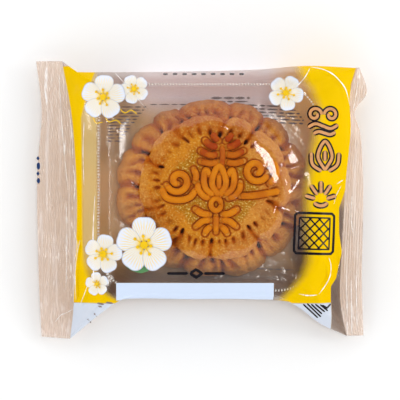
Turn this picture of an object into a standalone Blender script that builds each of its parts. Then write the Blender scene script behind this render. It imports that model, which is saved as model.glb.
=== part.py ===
"""Flow-wrapped oval mooncake: one closed solid of the sealed packet.

The film tube is pressed flat at both ends into crimped fins. Between them it is drawn over a
clear tray and the cake in it, so the tray's rim, the cake's flat top and its two rows of petals
stand out in the upper face. The underside is flat where the tray rests.

Metres, +Z up, +X along the packet from fin to fin, origin under the middle of its outline.
"""

import bpy
import bmesh
import numpy as np

TAU = 2.0 * np.pi

# Outline of the wrapped body, corner by corner, seen from above
TOP_LEFT = (-0.0614, 0.0611)
TOP_RIGHT = (0.0684, 0.0581)
BOTTOM_RIGHT = (0.0640, -0.0598)
BOTTOM_LEFT = (-0.0579, -0.0611)

LEFT_SEAL = [TOP_LEFT, (-0.0570, 0.0361), (-0.0549, 0.0040), (-0.0552, -0.0220),
             (-0.0563, -0.0466), BOTTOM_LEFT]
RIGHT_SEAL = [TOP_RIGHT, (0.0653, 0.0462), (0.0656, 0.0300), (0.0635, 0.0080),
              (0.0618, -0.0200), (0.0610, -0.0440), BOTTOM_RIGHT]
FAR_EDGE = [TOP_LEFT, (-0.0603, 0.0590), (-0.0579, 0.0572), (-0.0543, 0.0563),
            (-0.0227, 0.0563), (0.0213, 0.0572), (0.0455, 0.0590), TOP_RIGHT]
NEAR_EDGE = [BOTTOM_LEFT, (-0.0469, -0.0519), (-0.0367, -0.0440), (-0.0050, -0.0436),
             (0.0200, -0.0436), (0.0385, -0.0447), (0.0433, -0.0475), (0.0526, -0.0546),
             BOTTOM_RIGHT]

# Free edges of the two crimped fins, far end first
LEFT_FIN_EDGE = [(-0.0728, 0.0611), (-0.0704, 0.0387), (-0.0724, 0.0110), (-0.0719, -0.0264),
                 (-0.0706, -0.0603)]
RIGHT_FIN_EDGE = [(0.0696, 0.0584), (0.0728, 0.0475), (0.0675, 0.0387), (0.0702, 0.0277),
                  (0.0713, 0.0030), (0.0706, -0.0352), (0.0715, -0.0598)]

# Heights of the film above the table
SEAL_HEIGHT = 0.0090
EAR_HEIGHT = 0.0060
FIN_DROOP = 0.0022
FIN_RIPPLE = 0.0007
FIN_THICKNESS = 0.0010
RIM_HEIGHT = 0.0245
DISC_HEIGHT = 0.0342
DISC_EDGE_HEIGHT = 0.0328
SLOPE_SAG = 0.0008

# Tray: a square with round corners, rim above and base below
TRAY_CENTRE = (0.0032, 0.0055)
TRAY_HALF = (0.0490, 0.0458)
TRAY_CORNER = 0.0190
TRAY_BASE_INSET = 0.0055
BASE_FLAT_INSET = 0.0030

# Cake: an oval with a flat top inside a scalloped edge
CAKE_CENTRE = (0.0042, 0.0050)
DISC_HALF = (0.0327, 0.0303)
PETALS = 12
PETAL_BULGE = 0.045
PETAL_DIP = 0.0009
RIM_WIDTH = 0.14
RIM_GROOVE = 0.0007

# Raised ornament on the cake's flat top: a blossom and four cloud scrolls round it
ORNAMENT_RISE = 0.0008
BLOSSOM_RADIUS = 0.0095
BLOSSOM_PETALS = 6
SCROLL_DISTANCE = (0.0205, 0.0190)
SCROLL_HALF = (0.0075, 0.0055)

# Folds: crimps along the fins and gathers where the film runs down to them
CRIMPS = 5
CRIMP_DEPTH = 0.00022
GATHERS = 5
GATHER_DEPTH = 0.0009
CORNER_PUFF = 0.0060
CORNER_PUFF_SPOKES = 11.0

# Mesh density
SIDE_STEPS = 32
EDGE_STEPS = 36
SHOULDER_STEPS = (0.16, 0.36, 0.60, 0.82, 1.0)
SLOPE_STEPS = (0.25, 0.50, 0.72, 0.88, 1.0)
DISC_STEPS = (0.955, 0.915, 0.875, 0.83, 0.76, 0.69, 0.62, 0.55, 0.48, 0.41, 0.34, 0.27,
              0.20, 0.13, 0.06)
UNDERSIDE_STEPS = (0.30, 0.62, 1.0)
SMOOTH_ANGLE = np.radians(38.0)

FILM_COLOUR = (0.86, 0.55, 0.16, 1.0)
FILM_ROUGHNESS = 0.28


def clear_scene():
    """Remove whatever the file holds."""
    for item in list(bpy.data.objects):
        bpy.data.objects.remove(item, do_unlink=True)


def curve_through(points, count):
    """Points at even spacing on a smooth curve through a few corner points."""
    pts = np.array(points, dtype=float)
    before = 2.0 * pts[0] - pts[1]
    after = 2.0 * pts[-1] - pts[-2]
    padded = np.vstack([before, pts, after])
    fine = []
    for a, b, c, d in zip(padded, padded[1:], padded[2:], padded[3:]):
        for t in np.linspace(0.0, 1.0, 24, endpoint=False):
            bend = 0.5 * (2.0 * b + (c - a) * t + (2.0 * a - 5.0 * b + 4.0 * c - d) * t ** 2
                          + (3.0 * b - a - 3.0 * c + d) * t ** 3)
            fine.append(bend)
    fine.append(pts[-1])
    fine = np.array(fine)
    run = np.concatenate([[0.0], np.cumsum(np.linalg.norm(np.diff(fine, axis=0), axis=1))])
    at = np.linspace(0.0, run[-1], count + 1)
    return np.column_stack([np.interp(at, run, fine[:, k]) for k in range(2)])


def round_square(centre, half, corner, shares):
    """Points on one side of a round-cornered square, from corner middle to corner middle."""
    hx, hy = half
    straight = 2.0 * np.array([hx - corner, hy - corner])
    arc = corner * np.pi / 4.0
    middle = np.array(centre)
    corners = {"far": (-1, 1), "right": (1, 1), "near": (1, -1), "left": (-1, -1)}
    result = {}
    for side, (sx, sy) in corners.items():
        along = straight[0] if side in ("far", "near") else straight[1]
        hub = middle + np.array([sx * (hx - corner), sy * (hy - corner)])
        start = np.arctan2(sy, sx)
        distance = shares[side] * (2.0 * arc + along)
        turned = start - np.clip(distance, 0.0, arc) / corner
        heading = start - np.pi / 4.0
        step = np.array([np.sin(heading), -np.cos(heading)])
        slid = np.clip(distance - arc, 0.0, along)
        turned = turned - np.clip(distance - arc - along, 0.0, arc) / corner
        result[side] = (hub + corner * np.column_stack([np.cos(turned), np.sin(turned)])
                        + slid[:, None] * step)
    return result


def spokes():
    """The loops that the surface is hung on, all with the same spokes, clockwise from above."""
    far = curve_through(FAR_EDGE, EDGE_STEPS)
    right = curve_through(RIGHT_SEAL, SIDE_STEPS)
    near = curve_through(NEAR_EDGE, EDGE_STEPS)[::-1]
    left = curve_through(LEFT_SEAL, SIDE_STEPS)[::-1]
    outline = np.vstack([far[:-1], right[:-1], near[:-1], left[:-1]])
    edge = np.arange(EDGE_STEPS) / EDGE_STEPS
    side = np.arange(SIDE_STEPS) / SIDE_STEPS
    shares = {"far": edge, "right": side, "near": edge, "left": side}
    order = ("far", "right", "near", "left")
    rim = round_square(TRAY_CENTRE, TRAY_HALF, TRAY_CORNER, shares)
    base_half = np.array(TRAY_HALF) - TRAY_BASE_INSET
    base = round_square(TRAY_CENTRE, base_half, TRAY_CORNER - TRAY_BASE_INSET, shares)
    rim = np.vstack([rim[name] for name in order])
    base = np.vstack([base[name] for name in order])
    towards = rim - np.array(CAKE_CENTRE)
    angle = np.arctan2(towards[:, 1] / DISC_HALF[1], towards[:, 0] / DISC_HALF[0])
    return outline, rim, base, angle


def petal_wave(angle):
    """1 in the middle of each petal of the cake's edge and 0 in the notch between two."""
    return np.abs(np.cos(0.5 * PETALS * angle)) ** 0.55


def oval(half, angle, swell=0.0):
    """Points on an oval round the cake's middle, swollen outwards by a share of its size."""
    reach = 1.0 + swell
    return (np.array(CAKE_CENTRE)
            + np.column_stack([half[0] * np.cos(angle) * reach, half[1] * np.sin(angle) * reach]))


def bump(distance, width):
    """A smooth hump: 1 at distance 0, and 0 from width on."""
    inside = np.clip(1.0 - (distance / width) ** 2, 0.0, 1.0)
    return inside ** 0.8


def ornament(points):
    """Height of the raised blossom and the four scrolls over the cake's flat top."""
    from_middle = points - np.array(CAKE_CENTRE)
    radius = np.linalg.norm(from_middle, axis=1)
    turn = np.arctan2(from_middle[:, 1], from_middle[:, 0])
    lobe = BLOSSOM_RADIUS * (0.72 + 0.28 * np.abs(np.cos(0.5 * BLOSSOM_PETALS * turn)))
    rise = bump(radius, lobe) - 0.6 * bump(radius, 0.3 * BLOSSOM_RADIUS)
    for quarter in range(4):
        heading = quarter * TAU / 4.0
        middle = np.array([SCROLL_DISTANCE[0] * np.cos(heading),
                           SCROLL_DISTANCE[1] * np.sin(heading)])
        across = from_middle - middle
        along = across @ np.array([-np.sin(heading), np.cos(heading)])
        out = across @ np.array([np.cos(heading), np.sin(heading)])
        arch = out + 0.35 * np.abs(along) - 0.25 * SCROLL_HALF[1]
        reach = np.hypot(along / SCROLL_HALF[0], arch / SCROLL_HALF[1])
        rise = np.maximum(rise, bump(reach, 1.0))
    return ORNAMENT_RISE * np.clip(rise, 0.0, 1.0)


def seal_heights(outline):
    """Height of the middle of the film's edge, lower where the ears reach past the body."""
    past_body = np.clip((-0.0445 - outline[:, 1]) / 0.0165, 0.0, 1.0)
    return SEAL_HEIGHT + (EAR_HEIGHT - SEAL_HEIGHT) * past_body


def slack_weight():
    """1 on the spokes that run down to a fin and 0 on those at the far and near edges."""
    edge = np.zeros(EDGE_STEPS)
    side = np.ones(SIDE_STEPS)
    weight = np.concatenate([edge, side, edge, side])
    for _ in range(4):
        weight = (np.roll(weight, 1) + 2.0 * weight + np.roll(weight, -1)) / 4.0
    return weight


def with_height(flat, height):
    """Flat points and their heights as points in space."""
    return np.column_stack([flat, np.broadcast_to(height, len(flat))])


def shoulder_rings(outline, rim):
    """Loops from the film's edge up to the tray's rim, puffed at the sides, gathered at the fins."""
    seal = seal_heights(outline) + FIN_THICKNESS / 2.0
    slack = slack_weight()
    from_corner = np.arange(len(outline)) - EDGE_STEPS
    puff = CORNER_PUFF * bump(from_corner, CORNER_PUFF_SPOKES)
    side = np.arange(SIDE_STEPS) / SIDE_STEPS
    folds = np.concatenate([np.zeros(EDGE_STEPS), np.sin(TAU * GATHERS * side),
                            np.zeros(EDGE_STEPS), np.sin(TAU * GATHERS * side)])
    rings = [with_height(outline, seal)]
    for share in SHOULDER_STEPS:
        flat = outline + (rim - outline) * share
        puffed = np.sin(np.pi / 2.0 * share) ** 0.8
        drawn = 0.55 * share + 0.45 * share ** 2
        rise = (1.0 - slack) * puffed + slack * drawn
        gather = GATHER_DEPTH * folds * slack * np.sin(np.pi * share)
        air = puff * np.sin(np.pi * share ** 0.7)
        rings.append(with_height(flat, seal + (RIM_HEIGHT - seal) * rise + gather + air))
    return rings


def slope_rings(rim, angle):
    """Loops of taut film from the tray's rim up to the scalloped edge of the cake's top."""
    wave = petal_wave(angle)
    edge = oval(DISC_HALF, angle, PETAL_BULGE * (wave - 0.5))
    rings = []
    for share in SLOPE_STEPS:
        flat = rim + (edge - rim) * share
        height = RIM_HEIGHT + (DISC_EDGE_HEIGHT - RIM_HEIGHT) * share
        sag = SLOPE_SAG * np.sin(np.pi * share)
        notch = PETAL_DIP * (1.0 - wave) * share ** 2
        rings.append(with_height(flat, height - sag - notch))
    return rings


def disc_rings(angle):
    """Loops from the scalloped edge in to the middle of the cake's flat top."""
    wave = petal_wave(angle)
    rings = []
    for share in DISC_STEPS:
        swell = PETAL_BULGE * (wave - 0.5) * np.clip((share - 0.8) / 0.2, 0.0, 1.0)
        flat = oval(np.array(DISC_HALF) * share, angle, swell)
        from_rim = 1.0 - share
        crown = DISC_EDGE_HEIGHT + (DISC_HEIGHT - DISC_EDGE_HEIGHT) * min(1.0, from_rim / 0.06)
        groove = RIM_GROOVE * bump(abs(from_rim - RIM_WIDTH), 0.05)
        fade = np.clip((0.9 - share) / 0.08, 0.0, 1.0)
        rings.append(with_height(flat, crown - groove + fade * ornament(flat)))
    return rings


def underside_rings(outline, base):
    """Loops from the film's edge down and in to the flat face that the packet rests on."""
    seal = seal_heights(outline) - FIN_THICKNESS / 2.0
    rings = [with_height(outline, seal)]
    for share in UNDERSIDE_STEPS:
        flat = outline + (base - outline) * share
        fall = (1.0 - share) ** 1.7
        rings.append(with_height(flat, seal * fall))
    middle = np.array(TRAY_CENTRE)
    inward = middle - base
    reach = np.linalg.norm(inward, axis=1)[:, None]
    rings.append(with_height(base + inward / reach * BASE_FLAT_INSET, 0.0))
    return rings


def fin_columns(seal, free_edge, face):
    """Rows of film from the seal out to a fin's free edge; face is 1 above and -1 below."""
    edge = curve_through(free_edge, SIDE_STEPS)
    start = seal_heights(seal)
    steps = 2 * CRIMPS
    row = np.arange(SIDE_STEPS + 1) / SIDE_STEPS
    ripple = FIN_RIPPLE * np.sin(TAU * 1.5 * row + 0.6)
    columns = []
    for step in range(1, steps + 1):
        share = step / steps
        flat = seal + (edge - seal) * share
        crimp = CRIMP_DEPTH * (1.0 if step % 2 else -1.0)
        middle = start - FIN_DROOP * share ** 1.5 + ripple * share + crimp
        columns.append(with_height(flat, middle + face * FIN_THICKNESS / 2.0))
    return columns


def add_loop(mesh, points):
    """New vertices at points."""
    return [mesh.verts.new(point) for point in points]


def bridge(mesh, first, second, closed=True):
    """Quads between two rows of vertices with the same count."""
    last = len(first) if closed else len(first) - 1
    for i in range(last):
        j = (i + 1) % len(first)
        mesh.faces.new((first[i], first[j], second[j], second[i]))


def bridge_all(mesh, rows, closed=True):
    """Quads between each row and the next."""
    for first, second in zip(rows, rows[1:]):
        bridge(mesh, first, second, closed)


def build_sheet(mesh, rings, face):
    """One face of the packet: its rings, and both fins joined to the first of them."""
    loops = [add_loop(mesh, ring) for ring in rings]
    bridge_all(mesh, loops)
    cap = loops[-1]
    mesh.faces.new(cap)
    first = loops[0]
    right_start = EDGE_STEPS
    left_start = 2 * EDGE_STEPS + SIDE_STEPS
    right_seal = first[right_start:right_start + SIDE_STEPS + 1]
    left_seal = (first[left_start:] + first[:1])[::-1]
    fins = {}
    for name, seal, edge in (("right", right_seal, RIGHT_FIN_EDGE),
                             ("left", left_seal, LEFT_FIN_EDGE)):
        flat = np.array([vert.co[:2] for vert in seal])
        columns = [add_loop(mesh, column) for column in fin_columns(flat, edge, face)]
        bridge_all(mesh, [seal] + columns, closed=False)
        fins[name] = [seal] + columns
    return first, fins


def rim_of(first, fins):
    """The whole free edge of one face, clockwise: far edge, right fin, near edge, left fin."""
    right, left = fins["right"], fins["left"]
    far = first[:EDGE_STEPS]
    near = first[EDGE_STEPS + SIDE_STEPS:2 * EDGE_STEPS + SIDE_STEPS]
    right_edge = [column[0] for column in right] + right[-1][1:-1]
    right_edge += [column[-1] for column in right[:0:-1]]
    left_edge = [column[-1] for column in left] + left[-1][-2:0:-1]
    left_edge += [column[0] for column in left[:0:-1]]
    return far + right_edge + near + left_edge


def build_packet():
    """The packet's closed solid as one object."""
    outline, rim, base, angle = spokes()
    mesh = bmesh.new()
    upper = shoulder_rings(outline, rim) + slope_rings(rim, angle) + disc_rings(angle)
    top_first, top_fins = build_sheet(mesh, upper, 1.0)
    low_first, low_fins = build_sheet(mesh, underside_rings(outline, base), -1.0)
    bridge(mesh, rim_of(top_first, top_fins), rim_of(low_first, low_fins))
    bmesh.ops.recalc_face_normals(mesh, faces=mesh.faces)
    bmesh.ops.triangulate(mesh, faces=mesh.faces)
    data = bpy.data.meshes.new("mooncake_packet")
    mesh.to_mesh(data)
    mesh.free()
    data.shade_smooth()
    data.set_sharp_from_angle(angle=SMOOTH_ANGLE)
    packet = bpy.data.objects.new("mooncake_packet", data)
    bpy.context.scene.collection.objects.link(packet)
    return packet


def film_material():
    """Glossy warm film, for the CAD's own look."""
    material = bpy.data.materials.new("packet_film")
    material.use_nodes = True
    shader = material.node_tree.nodes["Principled BSDF"]
    shader.inputs["Base Color"].default_value = FILM_COLOUR
    shader.inputs["Roughness"].default_value = FILM_ROUGHNESS
    shader.inputs["Metallic"].default_value = 0.0
    return material


def main():
    """Build the packet and give it its film."""
    clear_scene()
    packet = build_packet()
    packet.data.materials.append(film_material())


main()
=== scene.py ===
"""Looks of the sealed mooncake packet: printed film, clear tray, baked cake and a plain studio."""

import logging
import math
from dataclasses import dataclass
from enum import Enum
from typing import Iterable, Sequence

import bmesh
import bpy
import numpy as np
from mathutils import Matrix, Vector
from mathutils.bvhtree import BVHTree


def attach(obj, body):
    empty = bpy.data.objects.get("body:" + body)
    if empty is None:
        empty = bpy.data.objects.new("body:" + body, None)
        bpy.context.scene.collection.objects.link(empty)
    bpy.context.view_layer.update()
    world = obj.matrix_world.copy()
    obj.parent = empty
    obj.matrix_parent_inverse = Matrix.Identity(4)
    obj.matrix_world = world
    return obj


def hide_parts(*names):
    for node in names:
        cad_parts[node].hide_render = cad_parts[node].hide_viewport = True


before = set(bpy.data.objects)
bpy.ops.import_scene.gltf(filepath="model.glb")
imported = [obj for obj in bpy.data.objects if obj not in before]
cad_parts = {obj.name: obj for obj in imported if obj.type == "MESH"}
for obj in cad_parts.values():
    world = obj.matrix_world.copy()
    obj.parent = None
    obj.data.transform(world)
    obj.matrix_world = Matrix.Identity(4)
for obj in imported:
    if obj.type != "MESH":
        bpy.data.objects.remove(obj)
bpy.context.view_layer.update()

TAU = 2.0 * math.pi
MM = 0.001
NODE = "mooncake_packet"
LOG = logging.getLogger("packet")

Array = np.ndarray
Item = bpy.types.Object
Material = bpy.types.Material
Node = bpy.types.Node
Tree = bpy.types.NodeTree
Pair = tuple[float, float]
Colour = tuple[float, float, float, float]


class Slot(Enum):
    """Names of the material slots."""

    PRINT = "printed_film"
    FILM = "clear_film"
    TRAY = "clear_tray"
    CRUST = "baked_crust"
    GLAZE = "egg_glaze"


@dataclass(frozen=True)
class PhotoScale:
    """Where a pixel of the 400 by 400 photograph lies on the packet, in metres."""

    pixel: float = 0.00044
    origin: Pair = (201.5, 200.0)
    camera_height: float = 1.5
    scale_height: float = 0.009

    def at(self, px: float, py: float, height: float = 0.009) -> Pair:
        """X and Y of a pixel for something at a height above the table."""
        scale = self.pixel * (self.camera_height - height) / (self.camera_height - self.scale_height)
        return ((px - self.origin[0]) * scale, (self.origin[1] - py) * scale)

    def path(self, pixels: Sequence[Pair]) -> Array:
        """X and Y of several pixels, one row each."""
        return np.array([self.at(px, py) for px, py in pixels])

    def column(self, px: float) -> float:
        """X of a column of pixels, in millimetres."""
        return self.at(px, 0.0)[0] / MM

    def row(self, py: float) -> float:
        """Y of a row of pixels, in millimetres."""
        return self.at(0.0, py)[1] / MM


PHOTO = PhotoScale()


# Small numeric helpers


def bump(distance: Array, width: float) -> Array:
    """A smooth hump: 1 at distance 0, and 0 from width on."""
    return np.clip(1.0 - (distance / width) ** 2, 0.0, 1.0) ** 0.8


def bell(distance: Array, width: float) -> Array:
    """A bell curve: 1 at distance 0, and near 0 from twice the width on."""
    return np.exp(-(distance / width) ** 2)


def ease(value: Array, low: float, high: float) -> Array:
    """0 below low, 1 above high, and a smooth step between them."""
    share = np.clip((value - low) / (high - low), 0.0, 1.0)
    return share * share * (3.0 - 2.0 * share)


def soft_noise(x: Array, y: Array, cell: float, seed: int) -> Array:
    """Smooth random heights from -1 to 1 over a plane.

    Args:
        x: First coordinate of each point.
        y: Second coordinate of each point.
        cell: Size of one random cell, in the unit of x and y.
        seed: Number that fixes the draw.

    Returns:
        One value for each point.
    """
    side = 64
    grid = np.random.default_rng(seed).uniform(-1.0, 1.0, (side, side))
    u, v = x / cell + 1000.0, y / cell + 1000.0
    i, j = np.floor(u).astype(int), np.floor(v).astype(int)
    s, t = u - i, v - j
    s, t = s * s * (3.0 - 2.0 * s), t * t * (3.0 - 2.0 * t)
    a, b = grid[i % side, j % side], grid[(i + 1) % side, j % side]
    c, d = grid[i % side, (j + 1) % side], grid[(i + 1) % side, (j + 1) % side]
    return (a * (1 - s) + b * s) * (1 - t) + (c * (1 - s) + d * s) * t


def run_lengths(points: Array) -> Array:
    """Distance along a path from its start to each of its points."""
    steps = np.linalg.norm(np.diff(points, axis=0), axis=1)
    return np.concatenate([[0.0], np.cumsum(steps)])


def resample(points: Array, at: Array) -> Array:
    """Places on a path at some distances from its start."""
    run = run_lengths(points)
    return np.column_stack([np.interp(at, run, column) for column in points.T])


def at_height(flat: Array, height: float | Array) -> Array:
    """Points of a plane lifted to one height, or to a height each."""
    return np.column_stack([flat, np.full(len(flat), height)])


def curve_through(points: Sequence[Sequence[float]], count: int) -> Array:
    """Evenly spaced points on a smooth curve through a few corner points.

    Args:
        points: The corner points, in order.
        count: Number of steps, one less than the points returned.

    Returns:
        An array with a point in each row.
    """
    pts = np.array(points, dtype=float)
    padded = np.vstack([2.0 * pts[0] - pts[1], pts, 2.0 * pts[-1] - pts[-2]])
    fine = []
    for a, b, c, d in zip(padded, padded[1:], padded[2:], padded[3:]):
        for t in np.linspace(0.0, 1.0, 24, endpoint=False):
            fine.append(0.5 * (2.0 * b + (c - a) * t + (2.0 * a - 5.0 * b + 4.0 * c - d) * t ** 2
                               + (3.0 * b - a - 3.0 * c + d) * t ** 3))
    fine = np.array([*fine, pts[-1]])
    return resample(fine, np.linspace(0.0, run_lengths(fine)[-1], count + 1))


def along_corners(corners: Array, step: float = 0.25 * MM) -> Array:
    """Places about a step apart on straight runs between corners, corners included.

    Args:
        corners: X and Y of each corner.
        step: Distance between places.

    Returns:
        X and Y of each place.
    """
    run = run_lengths(corners)
    even = np.linspace(0.0, run[-1], max(3, int(run[-1] / step)))
    return resample(corners, np.unique(np.round(np.concatenate([even, run]), 5)))


def path_distance(points: Array, path: Array) -> tuple[Array, Array]:
    """Distance of points from a polyline.

    Args:
        points: X and Y of each point.
        path: X and Y of each corner of the polyline.

    Returns:
        The distance of each point, and how far along the path its nearest place is, from 0 to 1.
    """
    starts = run_lengths(path)
    best = np.full(len(points), np.inf)
    along = np.zeros(len(points))
    for a, b, start in zip(path, path[1:], starts):
        step = b - a
        length = np.linalg.norm(step)
        t = np.clip(((points - a) @ step) / max(length ** 2, 1e-16), 0.0, 1.0)
        gap = np.linalg.norm(points - (a + t[:, None] * step), axis=1)
        nearer = gap < best
        best[nearer] = gap[nearer]
        along[nearer] = (start + t[nearer] * length) / starts[-1]
    return best, along


def round_square(centre: Pair, half: Sequence[float], corner: float,
                 shares: dict[str, Array]) -> Array:
    """Points round a round-cornered square, each side from corner middle to corner middle.

    Args:
        centre: Middle of the square.
        half: Half its length and half its width.
        corner: Radius of its corners.
        shares: For the sides far, right, near and left, how far along each point lies.

    Returns:
        The points in clockwise order.
    """
    hx, hy = half
    arc = corner * math.pi / 4.0
    corners = {"far": (-1, 1), "right": (1, 1), "near": (1, -1), "left": (-1, -1)}
    result = []
    for side, (sx, sy) in corners.items():
        along = 2.0 * ((hx if side in ("far", "near") else hy) - corner)
        hub = np.array(centre) + np.array([sx * (hx - corner), sy * (hy - corner)])
        start = math.atan2(sy, sx)
        distance = shares[side] * (2.0 * arc + along)
        turned = start - np.clip(distance, 0.0, arc) / corner
        turned = turned - np.clip(distance - arc - along, 0.0, arc) / corner
        heading = start - math.pi / 4.0
        slid = np.clip(distance - arc, 0.0, along)
        result.append(hub + corner * np.column_stack([np.cos(turned), np.sin(turned)])
                      + slid[:, None] * np.array([math.sin(heading), -math.cos(heading)]))
    return np.vstack(result)


# Mesh helpers


def face_out(mesh: bpy.types.Mesh) -> None:
    """Turn every face of a closed mesh outwards."""
    work = bmesh.new()
    work.from_mesh(mesh)
    bmesh.ops.recalc_face_normals(work, faces=work.faces)
    work.to_mesh(mesh)
    work.free()


def link_new(name: str, data: bpy.types.ID) -> Item:
    """A new object of the scene round some data."""
    item = bpy.data.objects.new(name, data)
    bpy.context.scene.collection.objects.link(item)
    return item


def make_object(name: str, verts: Array, faces: Iterable[Sequence[int]],
                materials: Sequence[Material], kinds: Sequence[int] | None = None) -> Item:
    """A smooth mesh object whose place is in its mesh.

    Args:
        name: Name of the piece.
        verts: Points in metres, one row each.
        faces: Corner numbers of each face.
        materials: Its finishes.
        kinds: Number of each face's finish; the first for all where it is None.

    Returns:
        The new object, linked to the scene.
    """
    mesh = bpy.data.meshes.new(name)
    mesh.from_pydata(np.asarray(verts).tolist(), [], [list(face) for face in faces])
    for material in materials:
        mesh.materials.append(material)
    if kinds is not None:
        mesh.polygons.foreach_set("material_index", np.asarray(kinds, dtype=np.int32))
    face_out(mesh)
    mesh.shade_smooth()
    return link_new(name, mesh)


def store(item: Item, name: str, values: Array) -> None:
    """Keep one number for each vertex of a piece, for its finish to read."""
    layer = item.data.attributes.new(name, "FLOAT", "POINT")
    layer.data.foreach_set("value", np.asarray(values, dtype=np.float32).ravel())


def strip_faces(first: Array, second: Array, closed: bool = True) -> Array:
    """Quads between two rows of vertex numbers.

    Args:
        first: Vertex numbers of one row.
        second: Vertex numbers of the next row.
        closed: Whether the last vertex joins the first.

    Returns:
        Corner numbers, one quad a row.
    """
    if closed:
        return np.column_stack([first, np.roll(first, -1), np.roll(second, -1), second])
    return np.column_stack([first[:-1], first[1:], second[1:], second[:-1]])


def plain_copy(item: Item) -> Item:
    """Replace a piece's live modifiers by the plain mesh that they make."""
    graph = bpy.context.evaluated_depsgraph_get()
    graph.update()
    mesh = bpy.data.meshes.new_from_object(item.evaluated_get(graph))
    name = item.name
    bpy.data.objects.remove(item, do_unlink=True)
    mesh.name = name
    return link_new(name, mesh)


def finish_piece(item: Item) -> Item:
    """Let a piece ride on the packet and stand for its solid."""
    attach(item, "root")
    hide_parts(NODE)
    LOG.info("%s: %d faces", item.name, len(item.data.polygons))
    return item


# Node graphs


class Wire:
    """An output socket of a node tree that arithmetic can be done on."""

    def __init__(self, graph: "Graph", socket: bpy.types.NodeSocket) -> None:
        """Keep the graph and the socket."""
        self.graph = graph
        self.socket = socket

    def __add__(self, other: "Wire | float") -> "Wire":
        """Sum."""
        return self.graph.math("ADD", self, other)

    def __sub__(self, other: "Wire | float") -> "Wire":
        """Difference."""
        return self.graph.math("SUBTRACT", self, other)

    def __rsub__(self, other: float) -> "Wire":
        """Difference from a number."""
        return self.graph.math("SUBTRACT", other, self)

    def __mul__(self, other: "Wire | float") -> "Wire":
        """Product."""
        return self.graph.math("MULTIPLY", self, other)

    def __truediv__(self, other: "Wire | float") -> "Wire":
        """Quotient."""
        return self.graph.math("DIVIDE", self, other)

    __radd__ = __add__
    __rmul__ = __mul__


class Graph:
    """A node tree with short calls for the nodes that the finishes use."""

    def __init__(self, tree: Tree) -> None:
        """Keep the tree."""
        self.tree = tree

    def node(self, kind: str, inputs: dict | None = None, **settings: object) -> Node:
        """A new node.

        Args:
            kind: Blender's name of the node type.
            inputs: Values or wires for its inputs, by name or number.
            **settings: Properties of the node.

        Returns:
            The node.
        """
        made = self.tree.nodes.new(kind)
        for key, value in settings.items():
            setattr(made, key, value)
        for key, value in (inputs or {}).items():
            self.feed(made.inputs[key], value)
        return made

    def feed(self, socket: bpy.types.NodeSocket, value: object) -> None:
        """Put a wire or a value into an input."""
        if isinstance(value, Wire):
            self.tree.links.new(value.socket, socket)
        else:
            socket.default_value = value

    def wire(self, node: Node, output: str | int = 0) -> Wire:
        """An output of a node as a wire."""
        return Wire(self, node.outputs[output])

    def result(self, kind: str, inputs: dict | None = None, **settings: object) -> Wire:
        """The first output of a new node."""
        return self.wire(self.node(kind, inputs, **settings))

    def math(self, operation: str, *values: "Wire | float") -> Wire:
        """A Math node's result."""
        return self.result("ShaderNodeMath", dict(enumerate(values)), operation=operation)

    def most(self, *values: "Wire | float") -> Wire:
        """The greater of two values."""
        return self.math("MAXIMUM", *values)

    def least(self, *values: "Wire | float") -> Wire:
        """The smaller of two values."""
        return self.math("MINIMUM", *values)

    def ease(self, value: Wire, low: "Wire | float", high: "Wire | float") -> Wire:
        """0 below low, 1 above high, and a smooth step between them."""
        return self.result("ShaderNodeMapRange", {"Value": value, "From Min": low, "From Max": high},
                           interpolation_type="SMOOTHSTEP")

    def past(self, value: Wire, limit: float, half: float) -> Wire:
        """0 short of a limit and 1 past it, with a soft edge half as wide on each side."""
        return self.ease(value, limit - half, limit + half)

    def blend(self, share: "Wire | float", first: object, second: object) -> Wire:
        """A colour between two colours."""
        made = self.node("ShaderNodeMix", {0: share}, data_type="RGBA")
        self.feed(made.inputs[6], first)
        self.feed(made.inputs[7], second)
        return self.wire(made, 2)

    def noise(self, vector: Wire, scale: "Wire | float", detail: float = 2.0,
              roughness: float = 0.5) -> Wire:
        """Noise from 0 to 1 over a position."""
        return self.result("ShaderNodeTexNoise", {"Vector": vector, "Scale": scale,
                                                  "Detail": detail, "Roughness": roughness})

    def attribute(self, name: str) -> Wire:
        """A number that the mesh keeps for each vertex."""
        return self.wire(self.node("ShaderNodeAttribute", attribute_name=name), "Fac")

    def place(self) -> Wire:
        """Object coordinates."""
        return self.wire(self.node("ShaderNodeTexCoord"), "Object")

    def stretched(self, along: float) -> Wire:
        """Object coordinates squeezed along Y, which draws a pattern out that way."""
        return self.result("ShaderNodeVectorMath", {0: self.place(), 1: (1.0, along, 1.0)},
                           operation="MULTIPLY")

    def millimetres(self) -> tuple[Wire, Wire]:
        """Object coordinates X and Y in millimetres."""
        split = self.node("ShaderNodeSeparateXYZ", {0: self.place()})
        return self.wire(split, 0) / MM, self.wire(split, 1) / MM

    def bump(self, height: Wire, distance: float, strength: float = 1.0) -> Wire:
        """A normal that shows a height."""
        return self.result("ShaderNodeBump", {"Height": height, "Distance": distance,
                                              "Strength": strength})


def srgb(red: int, green: int, blue: int) -> Colour:
    """A colour from 0 to 255 as light values."""
    def lin(level: int) -> float:
        """One channel."""
        share = level / 255.0
        return share / 12.92 if share <= 0.04045 else ((share + 0.055) / 1.055) ** 2.4
    return (lin(red), lin(green), lin(blue), 1.0)


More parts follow.
